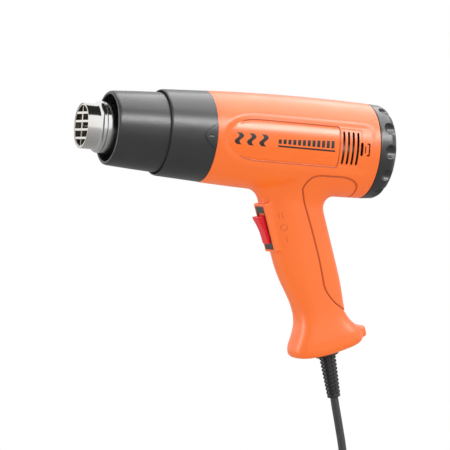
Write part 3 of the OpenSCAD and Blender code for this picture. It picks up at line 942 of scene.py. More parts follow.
def left_skin():
    """The left half of the outside, cut on the seam and at both ends, and its rim's edges in face order."""
    low = (-97, -41, -74)
    high = (58, 2.6, 136)
    points, faces = skin_of(shell_body, low, high, 1.6)
    points = settle(shell_body, points, 2, 1)
    made = refined(points, faces, shell_fineness, 3)
    settle_verts(made, shell_body, 3, 0.5)
    skin = np.array([v.co[:] for v in made.verts])
    out = slope_of(shell_body, skin)
    skin -= out / np.linalg.norm(out, axis=1, keepdims=True) * trim_depth(skin)[:, None]
    for v, point in zip(made.verts, skin):
        v.co = point
    for point, normal in (((0, -SEAM_GAP, 0), (0, 1, 0)), ((TIP_X + SHELL_FRONT, 0, 0), (-1, 0, 0)),
                          ((TIP_X + SHELL_REAR, 0, 0), (1, 0, 0))):
        parts = [part for kind in (made.verts, made.edges, made.faces) for part in kind
                 if normal[1] or all(v.co.z > 40 for v in getattr(part, "verts", [part]))]
        bmesh.ops.bisect_plane(made, geom=parts, dist=1e-4, plane_co=point, plane_no=normal, clear_outer=True)
    bmesh.ops.triangulate(made, faces=[f for f in made.faces if len(f.verts) > 3])
    made.verts.index_update()
    points = np.array([v.co[:] for v in made.verts])
    faces = np.array([[v.index for v in f.verts] for f in made.faces])
    rim = []
    for edge in made.edges:
        if len(edge.link_faces) == 1:
            a, b = (v.index for v in edge.verts)
            order = [v.index for v in edge.link_faces[0].verts]
            onward = order[(order.index(a) + 1) % 3] == b
            rim.append((a, b) if onward else (b, a))
    made.free()
    return points, faces, rim


def walled(points, faces, rim):
    """A closed shell: the skin, its inner wall, and the edge between them."""
    inner = settle(lambda p: shell_base(p) + SHELL_WALL, points.copy(), 4, 3)
    seam = np.abs(points[:, 1] + SEAM_GAP) < 0.01
    inner[seam, 1] = -SEAM_GAP
    for s in (SHELL_FRONT, SHELL_REAR):
        end = (np.abs(points[:, 0] - TIP_X - s) < 0.01) & (points[:, 2] > 40)
        inner[end, 0] = TIP_X + s
    count = len(points)
    walls = [(b, a, a + count, b + count) for a, b in rim]
    return np.vstack([points, inner]), [*faces.tolist(), *(faces[:, ::-1] + count).tolist(), *walls]


def prism(outline, y0, y1, turn=None):
    """A straight prism along Y through an outline in the XZ plane."""
    points = [(x, y, z) for y in (y0, y1) for x, z in outline]
    if turn is not None:
        points = [tuple(turn @ Vector(p)) for p in points]
    return points, prism_faces(len(outline))


def pill(centre_s, half_width, half_height):
    """An upright slot with round ends, in the XZ plane."""
    made = []
    steps = 8
    for end in (1, -1):
        for k in range(steps + 1):
            a = math.pi * k / steps + (0 if end > 0 else math.pi)
            made.append((TIP_X + centre_s + half_width * math.cos(a),
                         AXIS_Z + end * (half_height - half_width) + half_width * math.sin(a)))
    return made


def ring_points(x, z, r, steps=32):
    return [(x + r * math.cos(2 * math.pi * k / steps), z + r * math.sin(2 * math.pi * k / steps))
            for k in range(steps)]


def screw_places():
    """Middle of every screw in the XZ plane."""
    handle = [tuple(from_grip(u, 0, h)[[0, 2]]) for u, h in HANDLE_SCREWS]
    return handle + [(TIP_X + s, AXIS_Z + up) for s, up in BARREL_SCREWS]


def shell_cutters(side):
    """What is cut from a shell: vents, openings for switch and cord and, on the right, screw wells."""
    outside, inside = side * 42, side * 26
    cuts = [prism(pill(s, 0.98, VENT_HALF), outside, inside) for s in VENT_PLACES]
    cuts.append(prism(pill(218.4, 1.15, 5.2), outside, inside))
    cuts.append(prism(pill(221.3, 0.5, 2.8), outside, inside))
    hook = [(TIP_X + s, AXIS_Z + up) for s, up in (
        (222.7, 5), (225.3, 5), (225.3, -5), (222.7, -5), (222.7, -4), (224.1, -4), (224.1, 4), (222.7, 4))]
    cuts.append(prism(hook, outside, inside))
    for front, back, half_y, half_h in ((-32, -14, 7.9, 14.5), (-32, SWITCH_U + 1, 8.4, 17.4)):
        outline = [(front, SWITCH_H - half_h), (back, SWITCH_H - half_h), (back, SWITCH_H + half_h),
                   (front, SWITCH_H + half_h)]
        cuts.append(prism(outline, -half_y, half_y, GRIP_TURN))
    hole = [(0.9 + 5.5 * math.cos(a), 5.5 * math.sin(a)) for a in np.linspace(0, 2 * math.pi, 33)[:-1]]
    points = [tuple(GRIP_TURN @ Vector((u, y, h))) for h in (-74, -62) for u, y in hole]
    cuts.append((points, prism_faces(len(hole))))
    if side > 0:
        cuts += [prism(ring_points(x, z, WELL_R), 8.5, 42) for x, z in screw_places()]
    return cuts


def joined(parts):
    """Several (points, faces) as one."""
    points, faces = [], []
    for more, shapes in parts:
        faces += [tuple(i + len(points) for i in f) for f in shapes]
        points += [tuple(p) for p in more]
    return points, faces


def under_skin(x, z):
    """How far out, at a point of the XZ plane, lies the middle of the shell's wall."""
    ys = np.linspace(0, 38, 153)
    row = np.stack([np.full(ys.shape, x), ys, np.full(ys.shape, z)], -1)
    return ys[np.argmax(shell_base(row) > -1.3)]


def screw_posts(side):
    """The posts that the screws go into, solid on the left and hollow on the right."""
    parts = []
    sides = 24
    for x, z in screw_places():
        radii = (POST_BORE_R, WELL_R) if side < 0 else (WELL_R, POST_R)
        inner, outer = (ring_points(x, z, r, sides) for r in radii)
        points = []
        for line, far in ((outer, False), (outer, True), (inner, True), (inner, False)):
            points += [(a, side * (under_skin(a, b) if far else 0.3), b) for a, b in line]
        faces = []
        for k in range(4):
            a, b = k * sides, (k + 1) % 4 * sides
            faces += [(a + i, a + (i + 1) % sides, b + (i + 1) % sides, b + i) for i in range(sides)]
        parts.append((points, faces))
    return joined(parts)


def add_shells():
    """Two shells that meet on the seam, the right one a mirror of the left, with their screw posts."""
    points, faces = walled(*left_skin())
    for side, name in ((-1, "housing_left"), (1, "housing_right")):
        if side > 0:
            points = points * np.array([1, -1, 1])
            faces = [f[::-1] for f in faces]
        shell = piece_from(name + "_shell", points, faces, orange_plastic(side))
        # Painted shade: each groove's and the seam's depth is stored on the shell, so the orange is darkened
        # there as if shaded
        groove_shade = shell.data.attributes.new("crease", "FLOAT", "POINT")
        skin = np.arange(len(points)) < len(points) / 2
        depths = np.where(skin, side_trim(points)[1] / 0.5 + 0.45 * groove(points[:, 1], 0.35, 1), 0)
        groove_shade.data.foreach_set("value", np.clip(depths, 0, 1).astype(np.float32))
        cutter = piece_from("cutter", *joined(shell_cutters(side)), shell.data.materials[0], smooth=False)
        face_out(cutter.data)
        cut = shell.modifiers.new("cut", "BOOLEAN")
        cut.operation = "DIFFERENCE"
        cut.solver = "EXACT"
        cut.object = cutter
        cut.use_self = True
        finished(shell, 38)
        bpy.data.objects.remove(cutter)
        posts = piece_from("posts", *screw_posts(side), shell.data.materials[0])
        face_out(posts.data)
        posts.data.set_sharp_from_angle(angle=math.radians(40))
        merge(shell, posts)
        place(shell, "root", "orange_shell", name)


def merge(piece, *others):
    """Adds other pieces' meshes to one."""
    made = bmesh.new()
    for part in (piece, *others):
        made.from_mesh(part.data)
    made.to_mesh(piece.data)
    made.free()
    for part in others:
        bpy.data.objects.remove(part)
    return piece


# ---- Cord ----

def ease(t, start, length):
    """0 before start, 1 after it, with even bends between."""
    u = min(1, max(0, (t - start) / length))
    return 0.5 - 0.5 * math.cos(math.pi * u)


def coil_point(t):
    """A point of the coil by its angle from the top, counted over all the turns."""
    layer = 1 - ease(t, 198, 90) + ease(t, 4 * 360 + 115, 90)
    column = 1.5
    for turn in (1, 2, 3):
        column -= ease(t, turn * 360 + 175, 56)
    for turn in (5, 6):
        column += ease(t, turn * 360 + 92, 56)
    r = COIL_INNER_R + TURN_PITCH * layer
    a = math.radians(t)
    x, y, z = COIL_CENTRE
    return (x + column * TURN_PITCH, y + r * math.sin(a), z + r * math.cos(a))


def add_cord(material):
    """The cord as a curve: its listed route, the coil's turns and a straight tail to the plug."""
    route = list(smooth_line(CORD_ROUTE, 5))[:-1]
    coil = [coil_point(t) for t in np.arange(COIL_START, COIL_END, 5)]
    end = coil_point(COIL_END)
    tail = [(end[0], end[1], z) for z in np.linspace(end[2], PLUG_TOP_Z - 4, 6)]
    points = [tuple(float(c) for c in p) for p in route + coil + tail]
    data = bpy.data.curves.new("power_cord", "CURVE")
    data.dimensions = "3D"
    data.bevel_depth = CORD_D / 2 * MM
    data.bevel_resolution = 5
    data.use_fill_caps = True
    line = data.splines.new("POLY")
    line.points.add(len(points) - 1)
    for spot, p in zip(line.points, points):
        spot.co = (p[0] * MM, p[1] * MM, p[2] * MM, 1)
    line.use_smooth = True
    data.materials.append(material)
    piece = bpy.data.objects.new("mains_cord", data)
    bpy.context.scene.collection.objects.link(piece)
    return piece


# ---- Geometry Nodes ----

def socket_kind(value):
    if isinstance(value, bpy.types.Object):
        return "NodeSocketObject"
    return "NodeSocketInt" if isinstance(value, int) else "NodeSocketFloat"


def sizes_tree(name, sizes):
    """A new Geometry Nodes tree with a named input for each size, and wires to them."""
    tree = bpy.data.node_groups.new(name, "GeometryNodeTree")
    tree.interface.new_socket("Geometry", in_out="INPUT", socket_type="NodeSocketGeometry")
    tree.interface.new_socket("Geometry", in_out="OUTPUT", socket_type="NodeSocketGeometry")
    for size, value in sizes.items():
        tree.interface.new_socket(size, in_out="INPUT", socket_type=socket_kind(value))
    tree.interface.new_socket("Material", in_out="INPUT", socket_type="NodeSocketMaterial")
    g = Wiring(tree)
    given = g.node("NodeGroupInput")
    return g, {socket.name: g.out(given, socket.name) for socket in given.outputs if socket.name}


def end_tree(g, geometry, material):
    """Ends a tree in real, smooth-shaded geometry with its material, and gives the tree."""
    whole = g.out(g.node("GeometryNodeRealizeInstances", {}, {"Geometry": geometry}))
    shaded = g.out(g.node("GeometryNodeSetShadeSmooth", {}, {0: whole}))
    painted = g.out(g.node("GeometryNodeSetMaterial", {}, {"Geometry": shaded, "Material": material}))
    g.node("NodeGroupOutput", {}, {0: painted})
    return g.tree


def moved_by(g, geometry, x, y, z):
    """Geometry moved as a whole by a number or wire in each direction."""
    by = g.out(g.node("ShaderNodeCombineXYZ", {}, {"X": x, "Y": y, "Z": z}))
    return g.out(g.node("GeometryNodeTransform", {}, {"Geometry": geometry, "Translation": by}))


def grown(name, make_tree, sizes, material, source=None, sharp=40):
    """The mesh that a tree makes from a source piece, as a plain piece."""
    tree = make_tree(sizes)
    piece = source or piece_from(name, [(0, 0, 0)], [], material)
    piece.name = name
    modifier = piece.modifiers.new("grow", "NODES")
    modifier.node_group = tree
    ids = {item.name: item.identifier for item in tree.interface.items_tree if item.in_out == "INPUT"}
    for key, value in sizes.items():
        modifier[ids[key]] = value
    modifier[ids["Material"]] = material
    return finished(piece, sharp)


def round_axis_tree(sizes):
    """Copies of a part turned round the barrel's axis."""
    g, given = sizes_tree("round_axis", sizes)
    dots = g.out(g.node("GeometryNodePoints", {}, {"Count": given["Count"]}))
    index = g.out(g.node("GeometryNodeInputIndex"))
    angle = index * (2 * math.pi) / given["Count"] + given["Start angle"]
    turn = g.out(g.node("ShaderNodeCombineXYZ", {}, {"X": angle}))
    down = moved_by(g, given["Geometry"], 0, 0, -given["Axis height"])
    copies = g.out(g.node("GeometryNodeInstanceOnPoints", {}, {
        "Points": dots, "Instance": down, "Rotation": turn}))
    return end_tree(g, moved_by(g, copies, 0, 0, given["Axis height"]), given["Material"])


def row_tree(sizes):
    """Copies of a part one over the other, each a little smaller than the last."""
    g, given = sizes_tree("row", sizes)
    dots = g.out(g.node("GeometryNodePoints", {}, {"Count": given["Count"]}))
    index = g.out(g.node("GeometryNodeInputIndex"))
    step = g.out(g.node("ShaderNodeCombineXYZ", {}, {"Z": index * given["Step"]}))
    moved = g.out(g.node("GeometryNodeSetPosition", {}, {"Geometry": dots, "Position": step}))
    size = 1 - index * given["Shrink"]
    scale = g.out(g.node("ShaderNodeCombineXYZ", {}, {"X": size, "Y": size, "Z": 1.0}))
    copies = g.out(g.node("GeometryNodeInstanceOnPoints", {}, {
        "Points": moved, "Instance": given["Geometry"], "Scale": scale}))
    return end_tree(g, copies, given["Material"])


def helix_tree(sizes):
    """Round wire along a helix on the barrel's axis."""
    g, given = sizes_tree("helix", sizes)
    line = g.out(g.node("GeometryNodeCurveSpiral", {}, {
        "Resolution": given["Points a turn"], "Rotations": given["Turns"], "Start Radius": given["Radius"],
        "End Radius": given["Radius"], "Height": given["Length"]}))
    ring = g.out(g.node("GeometryNodeCurvePrimitiveCircle", {}, {
        "Resolution": 8, "Radius": given["Wire radius"]}))
    wire = g.out(g.node("GeometryNodeCurveToMesh", {}, {
        "Curve": line, "Profile Curve": ring, "Fill Caps": True}))
    place = g.out(g.node("ShaderNodeCombineXYZ", {}, {"X": given["Start X"], "Z": given["Axis height"]}))
    laid = g.out(g.node("GeometryNodeTransform", {}, {
        "Geometry": wire, "Translation": place, "Rotation": (0, math.pi / 2, 0)}))
    return end_tree(g, laid, given["Material"])


def spots_tree(sizes):
    """A copy of a part at every point."""
    g, given = sizes_tree("at_spots", sizes)
    part = g.out(g.node("GeometryNodeObjectInfo", {}, {"Object": given["Part"]}), "Geometry")
    copies = g.out(g.node("GeometryNodeInstanceOnPoints", {}, {
        "Points": given["Geometry"], "Instance": part, "Scale": given["Size"]}))
    return end_tree(g, copies, given["Material"])


def copies_round(name, part, count, start, material):
    sizes = {"Count": count, "Start angle": start, "Axis height": AXIS_Z * MM}
    return grown(name, round_axis_tree, sizes, material, part)


def copies_in_row(name, part, count, step, shrink, material):
    """Copies one over the other, by a step in millimetres."""
    sizes = {"Count": count, "Step": step * MM, "Shrink": shrink}
    return grown(name, row_tree, sizes, material, part)


# ---- Turned and carved pieces ----

def axis_parts(p):
    """Distance from the barrel's axis, place along it, and angle round it."""
    x, y, z = p.T
    return np.hypot(y, z - AXIS_Z), x - TIP_X, np.arctan2(y, z - AXIS_Z)


def scoop_gap(r, s, a):
    """Distance to the finger scoops round the cap's rear edge."""
    step = 2 * math.pi / SCOOP_COUNT
    fold = np.abs((a + step / 2) % step - step / 2)
    across, out = r * np.sin(fold), r * np.cos(fold) - SCOOP_OUT
    ahead = np.maximum(SCOOP_S - s, 0)
    return np.sqrt(across ** 2 + out ** 2 + ahead ** 2) - SCOOP_R


def cap_field(p):
    """The cap with its scoops, its stepped hole for the grille, and a neck that goes into the shells."""
    r, s, a = axis_parts(p)
    outside = meet(r - barrel_at(s) + 0.05, s - GUN_LENGTH, 8.5)
    neck = np.maximum(r - 34.5, np.abs(s - 231) - 3)
    outside = np.maximum(outside, SHELL_REAR + 0.2 - s)
    whole = np.minimum(outside, neck)
    bore = np.maximum(r - CAP_BORE_R, s - GUN_LENGTH + 11)
    throat = meet(r - CAP_THROAT_R, s - GUN_LENGTH + 3, 0.5)
    mouth = r - CAP_MOUTH_R
    inside = np.minimum(np.minimum(bore, throat), mouth)
    rim = groove(s - SHELL_REAR - 0.2, 0.5, 0.35)
    ledge = groove(r - 28.6, 0.35, 0.3) * (s > GUN_LENGTH - 1.5)
    return carve(carve(whole + rim + ledge, scoop_gap(r, s, a), 0.8), inside, 0.4)


def cap_fineness(p):
    """How long an edge may be: short by the scoops, the front edge and the mouth."""
    r, s, a = axis_parts(p)
    front = np.abs(s - SHELL_REAR) + np.abs(r - 37)
    gap = np.minimum(np.minimum(np.abs(scoop_gap(r, s, a)), front), np.hypot(r - CAP_MOUTH_R, s - GUN_LENGTH))
    return np.clip(0.55 + 0.4 * np.maximum(gap - 1, 0), 0.55, 1.6)


def add_rear_cap(material):
    cap = carved("rear_cap_moulding", cap_field, (TIP_X + 226, -CAP_REACH, AXIS_Z - CAP_REACH),
                 (TIP_X + 252.5, CAP_REACH, AXIS_Z + CAP_REACH), 1.25, material, cap_fineness)
    place(cap, "root", "dark_plastic", "rear_cap")


def add_intake_grille(material):
    """A hub, a stepped rim, and sixteen slats that widen outwards."""
    hub = turned("hub", rounded([(0.01, 245.7), (9.6, 245.7), (9.6, 249.3), (8.4, 249.8), (0.01, 250)], 0.4),
                 material, 64)
    rim = turned("rim", rounded([(22.4, 245.4), (26.7, 245.4), (26.7, 247), (23.8, 247), (23.6, 249.6),
                                 (21.3, 249.6), (21.3, 245.9), (22.4, 245.9)], 0.35), material, 128)
    points = []
    for r, half in ((9, 0.5), (22.2, 3.05)):
        for w, s in ((-half, 246), (half, 246), (half, 249.1), (half - 0.35, 249.5), (-half + 0.35, 249.5),
                     (-half, 249.1)):
            points.append(on_axis(s, w, r))
    slat = piece_from("slat", points, prism_faces(6), material)
    face_out(slat.data)
    slats = copies_round("intake_slats", slat, 16, math.pi / 16, material)
    grille = merge(slats, hub, rim)
    grille.name = "intake_grille_moulding"
    place(grille, "root", "dark_plastic", "intake_grille")


# Outline of the rear sleeve's arrow, by place and height over the axis
ARROW = np.array([(100, 11), (98.3, 10), (94.2, 7.6), (90.8, 4.6), (88.6, 1.8), (88, 0), (88.6, -1.8),
                  (90.8, -4.6), (94.2, -7.6), (98.3, -10), (100, -11)])


def guard_at(s):
    """The rear sleeve's radius at a place."""
    return GUARD_FRONT_R + (s - GUARD_FRONT_S) * GUARD_SLOPE


def arrow_field(p):
    """The raised arrow on a side of the rear sleeve, with a short line down its middle."""
    r, s, _ = axis_parts(p)
    up = p[:, 2] - AXIS_Z
    wide = np.interp(s, ARROW[5:, 0], -ARROW[5:, 1])
    outline = line_gap(s, up, ARROW)
    inside = (s > 88) & (np.abs(up) < wide)
    arrow = meet(np.where(inside, -outline, outline), r - guard_at(s) - ARROW_RISE, 0.35)
    arrow = meet(arrow, np.maximum(s - 98.1, guard_at(s) - ARROW_RISE - r), 0.25)
    return arrow + groove(line_gap(s, up, [(91.2, 0), (94.6, 0)]), 0.4, 0.25) * (r > guard_at(s) + 0.3)


def add_sleeves(material):
    """The rear sleeve with an arrow on each side, and the front sleeve that fits into it."""
    outline = rounded([
        (32.1, 61.6, 0.3), (32.9, 61.6, 0.6), (GUARD_FRONT_R, GUARD_FRONT_S, 1.0),
        (guard_at(97.6), 97.6, 0.3), (guard_at(98.1), 98.1, 0.3), (32.7, 98.1, 0.1), (32.7, 103.1, 0.3),
        (30.7, 103.1, 0.3), (30.7, 77, 0.2), (32.1, 77, 0.3)], 0.3)
    rear = turned("rear_sleeve_moulding", outline, material, 160)
    arrows = []
    for side in (-1, 1):
        low, high = sorted((31 * side, 37 * side))
        arrows.append(carved("arrow", arrow_field, (TIP_X + 86, low, AXIS_Z - 12),
                             (TIP_X + 99.5, high, AXIS_Z + 12), 0.4, material))
    place(merge(rear, *arrows), "root", "dark_plastic", "rear_sleeve")
    outline = rounded([
        (25.5, 21.5, 0.3), (26, 20.8, 0.3), (27.2, 20.8, 0.5), (28.1, 21.4, 0.6), (28.6, 23.2, 1.5),
        (29.9, 42, 8), (31.0, 62, 8), (31.45, 75.9, 0.5), (31.1, 76.3, 0.3), (29.4, 76.3, 0.2), (28.9, 62, 3),
        (26.2, 24, 0.5)], 0.3)
    front = turned("front_sleeve_moulding", outline, material, 160)
    place(front, "root", "dark_plastic", "front_sleeve")


# Middle of the nozzle's wall, with its bead, as (radius, place)
NOZZLE_WALL = 0.9
NOZZLE_LINE = [(17.05, 0.3), (17.05, 5), (17.05, 10.2), (17.5, 11), (18.3, 11.7), (19.1, 12.8), (19.45, 14.1),
               (19.2, 15.4), (18.85, 16.4), (19.0, 17.4), (19.28, 18.6), (19.3, 24), (19.3, 118)]


def add_nozzle(material):
    """The outlet tube with a rolled lip, and the flange at its rear."""
    line = smooth_line(NOZZLE_LINE, 4)
    ahead = np.gradient(line, axis=0)
    ahead /= np.linalg.norm(ahead, axis=1, keepdims=True)
    side = np.stack([ahead[:, 1], -ahead[:, 0]], -1) * NOZZLE_WALL / 2
    lip = [tuple(line[0] + NOZZLE_WALL / 2 * np.array([math.cos(a), -0.6 * math.sin(a)]))
           for a in np.linspace(math.pi - 0.4, 0.4, 5)]
    outline = lip + [tuple(p) for p in line + side] + [tuple(p) for p in (line - side)[::-1]]
    tube = turned("nozzle_tube_steel", outline, material, 192)
    flange = rounded([(19.6, 116.1), (31, 116.1), (31, 117.3), (19.6, 117.3)], 0.2)
    flange = turned("flange", flange, material)
    return place(merge(tube, flange), "root", "bright_steel", "nozzle_tube")


def bar_mesh(name, half, thick, deep, s, material, upright=False):
    """One grille bar across the outlet, with rounded edges."""
    outline = rounded([(-thick / 2, -deep / 2), (thick / 2, -deep / 2), (thick / 2, deep / 2),
                       (-thick / 2, deep / 2)], 0.25, 3)
    points = []
    for end in (-half, half):
        for a, b in outline:
            points.append(on_axis(s + b, a, end) if upright else on_axis(s + b, end, a))
    bar = piece_from(name, points, prism_faces(len(outline)), material)
    face_out(bar.data)
    return bar


def add_outlet_grille(material):
    """A ring in the nozzle's mouth with four level bars and one upright."""
    ring = rounded([(15.5, 0.5), (16.5, 0.5), (16.5, 3.2), (15.9, 3.2), (15.7, 1.5)], 0.25)
    ring = turned("ring", ring, material)
    long_bars = bar_mesh("level_bars", 15.7, 1.9, 1.2, 1.1, material)
    long_bars = copies_in_row("level_bars", lowered(long_bars, 3.2), 2, 6.4, 0, material)
    short_bars = bar_mesh("short_bars", 12.7, 1.9, 1.2, 1.1, material)
    short_bars = copies_in_row("short_bars", lowered(short_bars, 9.6), 2, 19.2, 0, material)
    upright = bar_mesh("upright_bar", 15.8, 2.0, 1.0, 1.25, material, True)
    grille = merge(ring, long_bars, short_bars, upright)
    grille.name = "outlet_grille_steel"
    return place(grille, "root", "bright_steel", "outlet_grille")


def lowered(piece, by):
    piece.data.transform(Matrix.Translation(Vector((0, 0, -by)) * MM))
    return piece


def frame_field(p):
    """The switch's bezel and body, in the grip's frame about the switch's middle."""
    plate = block(p, (0.5, 0, 0), (0.5, 8.2, 17.2), 0.4)
    body = block(p, (9.9, 0, 0), (9.1, 7.6, 14.2), 0.4)
    cavity = block(p, (7.35, 0, 0), (8.35, 6.5, 11.8), 0.3)
    pin = np.hypot(p[:, 0] - 3, p[:, 2]) - 1.55
    pin = np.maximum(pin, np.abs(p[:, 1]) - 7.3)
    slots = np.abs((p[:, 2] + 4) % 8 - 4) - 0.7
    slots = np.maximum(np.maximum(slots, np.abs(p[:, 1]) - 2.6), 14 - p[:, 0])
    return carve(np.minimum(plate, body), np.minimum(np.minimum(cavity, pin), slots), 0.25)


def rocker_field(p):
    """The rocker about its pivot, level."""
    u, y, q = p.T
    taper = np.abs(q) - 10.25 + 0.2 * np.clip(u - 0.5, -8, 4)
    body = meet(np.maximum(taper, u - 2.5), np.abs(y) - 6.2, 0.8)
    face = 32.9 - np.hypot(u + 38.9, q)
    body = meet(meet(body, -u - 6.9, 1.0), face, 1.2)
    pin = np.maximum(np.hypot(u, q) - 1.5, np.abs(y) - 7.2)
    return np.minimum(body, pin)


def add_switch(black, red):
    """The switch's fixed frame, and the rocker tilted to where it rests."""
    seat = GRIP_TURN @ Matrix.Translation((SWITCH_U, 0, SWITCH_H))
    bezel = carved("switch_bezel", frame_field, (-1, -9.5, -18.5), (20.3, 9.5, 18.5), 0.72, black,
                   turn=seat)
    place(bezel, "root", "black_plastic", "switch_frame")
    hinge = GRIP_TURN @ Matrix.Translation((PIVOT_U, 0, SWITCH_H)) @ Matrix.Rotation(-ROCKER_TILT, 4, "Y")
    rocker = carved("rocker_button", rocker_field, (-9.5, -8.4, -12.8), (4, 8.4, 12.8), 0.5, red,
                    turn=hinge)
    place(rocker, "rocker", "red_rocker", "rocker")


def add_screws(material):
    """Round heads with a crossed recess, one copied to each well."""
    side = [(0.01, 1.25), (0.9, 1.25), (1.8, 2.0), (2.5, 1.7), (2.85, 1.1), (2.85, 0), (1.45, 0),
            (1.45, -14.6), (0.9, -15), (0.01, -15)]
    points, faces = [], []
    n, m = 24, len(side)
    for i in range(n):
        a = 2 * math.pi * i / n
        cross = max(0.0, math.cos(4 * a)) ** 3
        for j, (r, y) in enumerate(side):
            dip = 0.75 * cross if j == 1 else 0
            far = r * (1 + 0.75 * cross) if j == 1 else r
            points.append((far * math.cos(a), SCREW_SEAT_Y + y - dip, far * math.sin(a)))
        k = (i + 1) % n
        faces += [(i * m + j, k * m + j, k * m + j + 1, i * m + j + 1) for j in range(m - 1)]
    faces += [[i * m for i in range(n)], [i * m + m - 1 for i in range(n)]]
    screw = piece_from("screw", points, faces, material)
    face_out(screw.data)
    spots = piece_from("spots", [(x, 0, z) for x, z in screw_places()], [], material)
    screws = grown("shell_screws", spots_tree, {"Size": 1.0, "Part": screw}, material, spots, 30)
    bpy.data.objects.remove(screw)
    place(screws, "root", "plain_steel", "housing_screws")


# ---- Strain relief, plug and tie ----

# The strain relief's own frame, from under the foot along the cord
BOOT = GRIP_TURN @ Matrix.Translation((0.9, 0, -71)) @ Matrix.Rotation(math.radians(185), 4, "Y")


def rib_mesh(material):
    """One rib of the relief: a ring broken by eight gaps, in its own frame."""
    points, faces = [], []
    section = rounded([(4.6, -0.95), (6.6, -0.95), (6.6, 0.95), (4.6, 0.95)], 0.35, 2)
    n = len(section)
    for start, end in [(a + 6, a + 39) for a in range(0, 360, 45)]:
        base = len(points)
        steps = 6
        for k in range(steps + 1):
            a = math.radians(start + (end - start) * k / steps)
            points += [(r * math.cos(a), r * math.sin(a), h) for r, h in section]
        for k in range(steps):
            faces += [(base + k * n + j, base + (k + 1) * n + j, base + (k + 1) * n + (j + 1) % n,
                       base + k * n + (j + 1) % n) for j in range(n)]
        faces += [tuple(range(base + n - 1, base - 1, -1)), tuple(base + steps * n + j for j in range(n))]
    rib = piece_from("rib", points, faces, material)
    face_out(rib.data)
    return rib


def add_relief(material):
    """The tapered boot with its broken ribs, and the flange that holds it in the foot."""
    core = rounded([(3.35, 0.2), (5.9, 0.2), (4.8, 34.9), (3.35, 34.9)], 0.3)
    core = spun("core", core, material, BOOT)
    collar = rounded([(3.4, 32.6), (5.2, 32.4), (5.25, 34.6), (4.9, 35), (3.4, 35)], 0.3)
    collar = spun("collar", collar, material, BOOT)
    flange = rounded([(3.4, -66), (7.3, -66), (7.3, -67.2), (5.3, -67.3), (5.3, -69.9), (9.4, -70.1),
                      (9.5, -71.9), (9, -72.6), (3.4, -72.6)], 0.3)
    flange = spun("flange", flange, material, GRIP_TURN @ Matrix.Translation((0.9, 0, 0)))
    ribs = copies_in_row("ribs", rib_mesh(material), RIB_COUNT, RIB_STEP, RIB_SHRINK, material)
    ribs.data.transform(Matrix.Translation((0, 0, RIB_START * MM)))
    ribs.data.transform(Matrix.Scale(MM, 4) @ BOOT @ Matrix.Scale(1 / MM, 4))
    relief = merge(core, collar, flange, ribs)
    relief.name = "relief_boot"
    place(relief, "root", "black_plastic", "strain_relief")


def plug_field(p):
    """The plug from its top down, with its flat faces dished for the fingers."""
    x, y, z = p.T
    cone = np.hypot(x, y) - (4.7 + (-z) * 0.19)
    cone = np.maximum(cone, np.maximum(z, -14 - z))
    wide = np.interp(-z, [10, 13, 22, 42], [0.5, 2, 9.5, 9.5])
    thick = np.interp(-z, [10, 13, 22, 42], [6.2, 6.5, 8, 8])
    body = np.hypot(np.maximum(np.abs(x) - wide, 0), y) - thick + 0.05
    body = meet(body * 0.85, np.abs(z + 27.2) - 14.8, 1.6)
    ridge = np.cos((z + 27) * 2 * math.pi / 2.6) * 0.25 * (np.abs(z + 27) < 9) * (np.abs(x) < 14)
    dish = 0.8 * np.exp(-((z + 27) / 8) ** 2) * np.exp(-(x / 9) ** 4)
    return join(cone, body, 2) + dish + ridge * (np.abs(y) > 4)


def add_plug(rubber_material, pins_material):
    """The plug's body under the cord's tail, and its two pins."""
    end = coil_point(COIL_END)
    seat = Matrix.Translation((end[0], end[1], PLUG_TOP_Z))
    plug = carved("plug_moulding", plug_field, (-19.5, -9.5, -43.5), (19.5, 9.5, 1.5), 0.8, rubber_material,
                  turn=seat)
    place(plug, "root", "plug_rubber", "plug_body")
    pins = []
    for side in (-1, 1):
        foot = seat @ Matrix.Translation((9.5 * side, 0, -61))
        outline = rounded([(0.01, 0), (1.2, 0.1), (2.2, 1.2), (2.4, 3), (2.4, 19), (0.01, 19)], 0.4)
        pins.append(spun("pin", outline, pins_material, foot, 32))
    pins = merge(*pins)
    pins.name = "plug_contacts"
    place(pins, "root", "brass_pins", "plug_pins")
    return plug, pins


def add_tie(material):
    """A buckled strap round the coil's turns at its bottom."""
    x0, _, z0 = COIL_CENTRE
    reach = CORD_D / 2 + 0.1
    low, high = COIL_INNER_R - reach, COIL_INNER_R + TURN_PITCH + reach
    half = 1.5 * TURN_PITCH + reach
    inner, outer = [rounded([
        (-half - grow, low - grow), (half + grow, low - grow), (half + grow, high + grow),
        (-half - grow, high + grow)], 2.6 + grow, 5) for grow in (0.0, 1.15)]
    n = len(inner)
    points, faces = [], []
    steps = 8
    for k in range(steps + 1):
        a = math.radians(180 - 5.6 + 11.2 * k / steps)
        for loop in (outer, inner):
            points += [(x0 + b, r * math.sin(a), z0 + r * math.cos(a)) for b, r in loop]
    for k in range(steps):
        for j in range(n):
            i = (j + 1) % n
            a, b = k * 2 * n, (k + 1) * 2 * n
            faces += [(a + j, b + j, b + i, a + i), (a + n + j, a + n + i, b + n + i, b + n + j)]
    for j in range(n):
        i = (j + 1) % n
        last = steps * 2 * n
        faces += [(j, i, n + i, n + j), (last + j, last + n + j, last + n + i, last + i)]
    tie = piece_from("coil_strap", points, faces, material)
    face_out(tie.data)
    soften = tie.modifiers.new("soften", "BEVEL")
    soften.width = 0.2 * MM
    soften.segments = 2
    finished(tie, 40)
    place(tie, "root", "black_plastic", "coil_tie")
    return tie


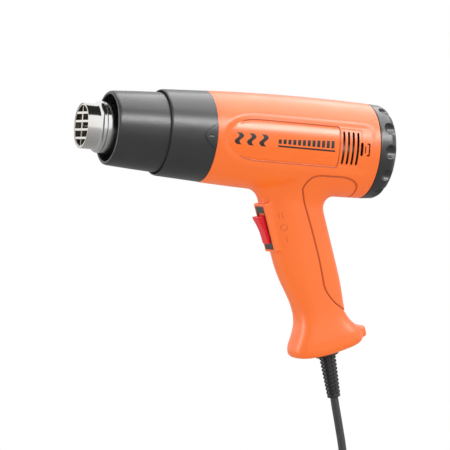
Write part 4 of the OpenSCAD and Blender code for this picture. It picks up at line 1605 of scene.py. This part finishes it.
def add_heater(material):
    """The heating wire, wound in one helix round the mica."""
    sizes = {"Radius": 13.2 * MM, "Wire radius": 0.75 * MM, "Turns": 22.0, "Length": 92 * MM,
             "Points a turn": 30, "Start X": (TIP_X + 14) * MM, "Axis height": AXIS_Z * MM}
    coil = grown("heater_helix", helix_tree, sizes, material)
    place(coil, "root", "bright_steel", "heating_coils")


# ---- The whole gun ----

add_camera()
finishes = {
    "orange_shell": orange_plastic(1),
    "dark_plastic": dark_plastic(),
    "bright_steel": nozzle_steel(),
    "plain_steel": plain_steel(),
    "black_plastic": black_gloss(),
    "red_rocker": red_gloss(),
    "copper": copper(),
    "pale_plastic": moulded("pale_plastic", (0.62, 0.59, 0.52), 0.45).material,
    "mica": mica(),
    "magnet": ceramic_magnet(),
    "board": circuit_board(),
    "capacitor_case": moulded("capacitor_case", (0.6, 0.36, 0.04), 0.25, depth=0.006).material,
    "wire_sleeve": rubber("wire_sleeve", 0.06),
    "cord_rubber": rubber("cord_rubber", 0.04, 0.42),
    "plug_rubber": rubber("plug_rubber", 0.02, 0.5),
    "brass_pins": plain_steel("brass_pins", (0.72, 0.64, 0.42), 0.22),
}
mains_cord = add_cord(finishes["cord_rubber"])
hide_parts("power_cord", "cord_coil", "cord_tail")
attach(mains_cord, "root")
plug, plug_contacts = add_plug(finishes["plug_rubber"], finishes["brass_pins"])
strap = add_tie(finishes["black_plastic"])
add_stage()
add_floor()
outlet_steel = add_lights()
add_shells()
add_rear_cap(finishes["dark_plastic"])
add_intake_grille(finishes["dark_plastic"])
add_sleeves(finishes["dark_plastic"])
for piece in (add_nozzle(finishes["bright_steel"]), add_outlet_grille(finishes["bright_steel"])):
    outlet_steel.objects.link(piece)
for entry in outlet_steel.collection_objects:
    entry.light_linking.link_state = "EXCLUDE"
add_switch(finishes["black_plastic"], finishes["red_rocker"])
add_screws(finishes["plain_steel"])
add_relief(finishes["black_plastic"])
add_heater(finishes["plain_steel"])

# The inner sub-parts stay as they were drawn, in the same finishes
node_slots = {part["node"]: part["material_slot"] for part in frame["record"]["subparts"]}
for name, node in frame["nodes"].items():
    slot = node_slots[name]
    node.data.materials.clear()
    node.data.materials.append(finishes[slot])
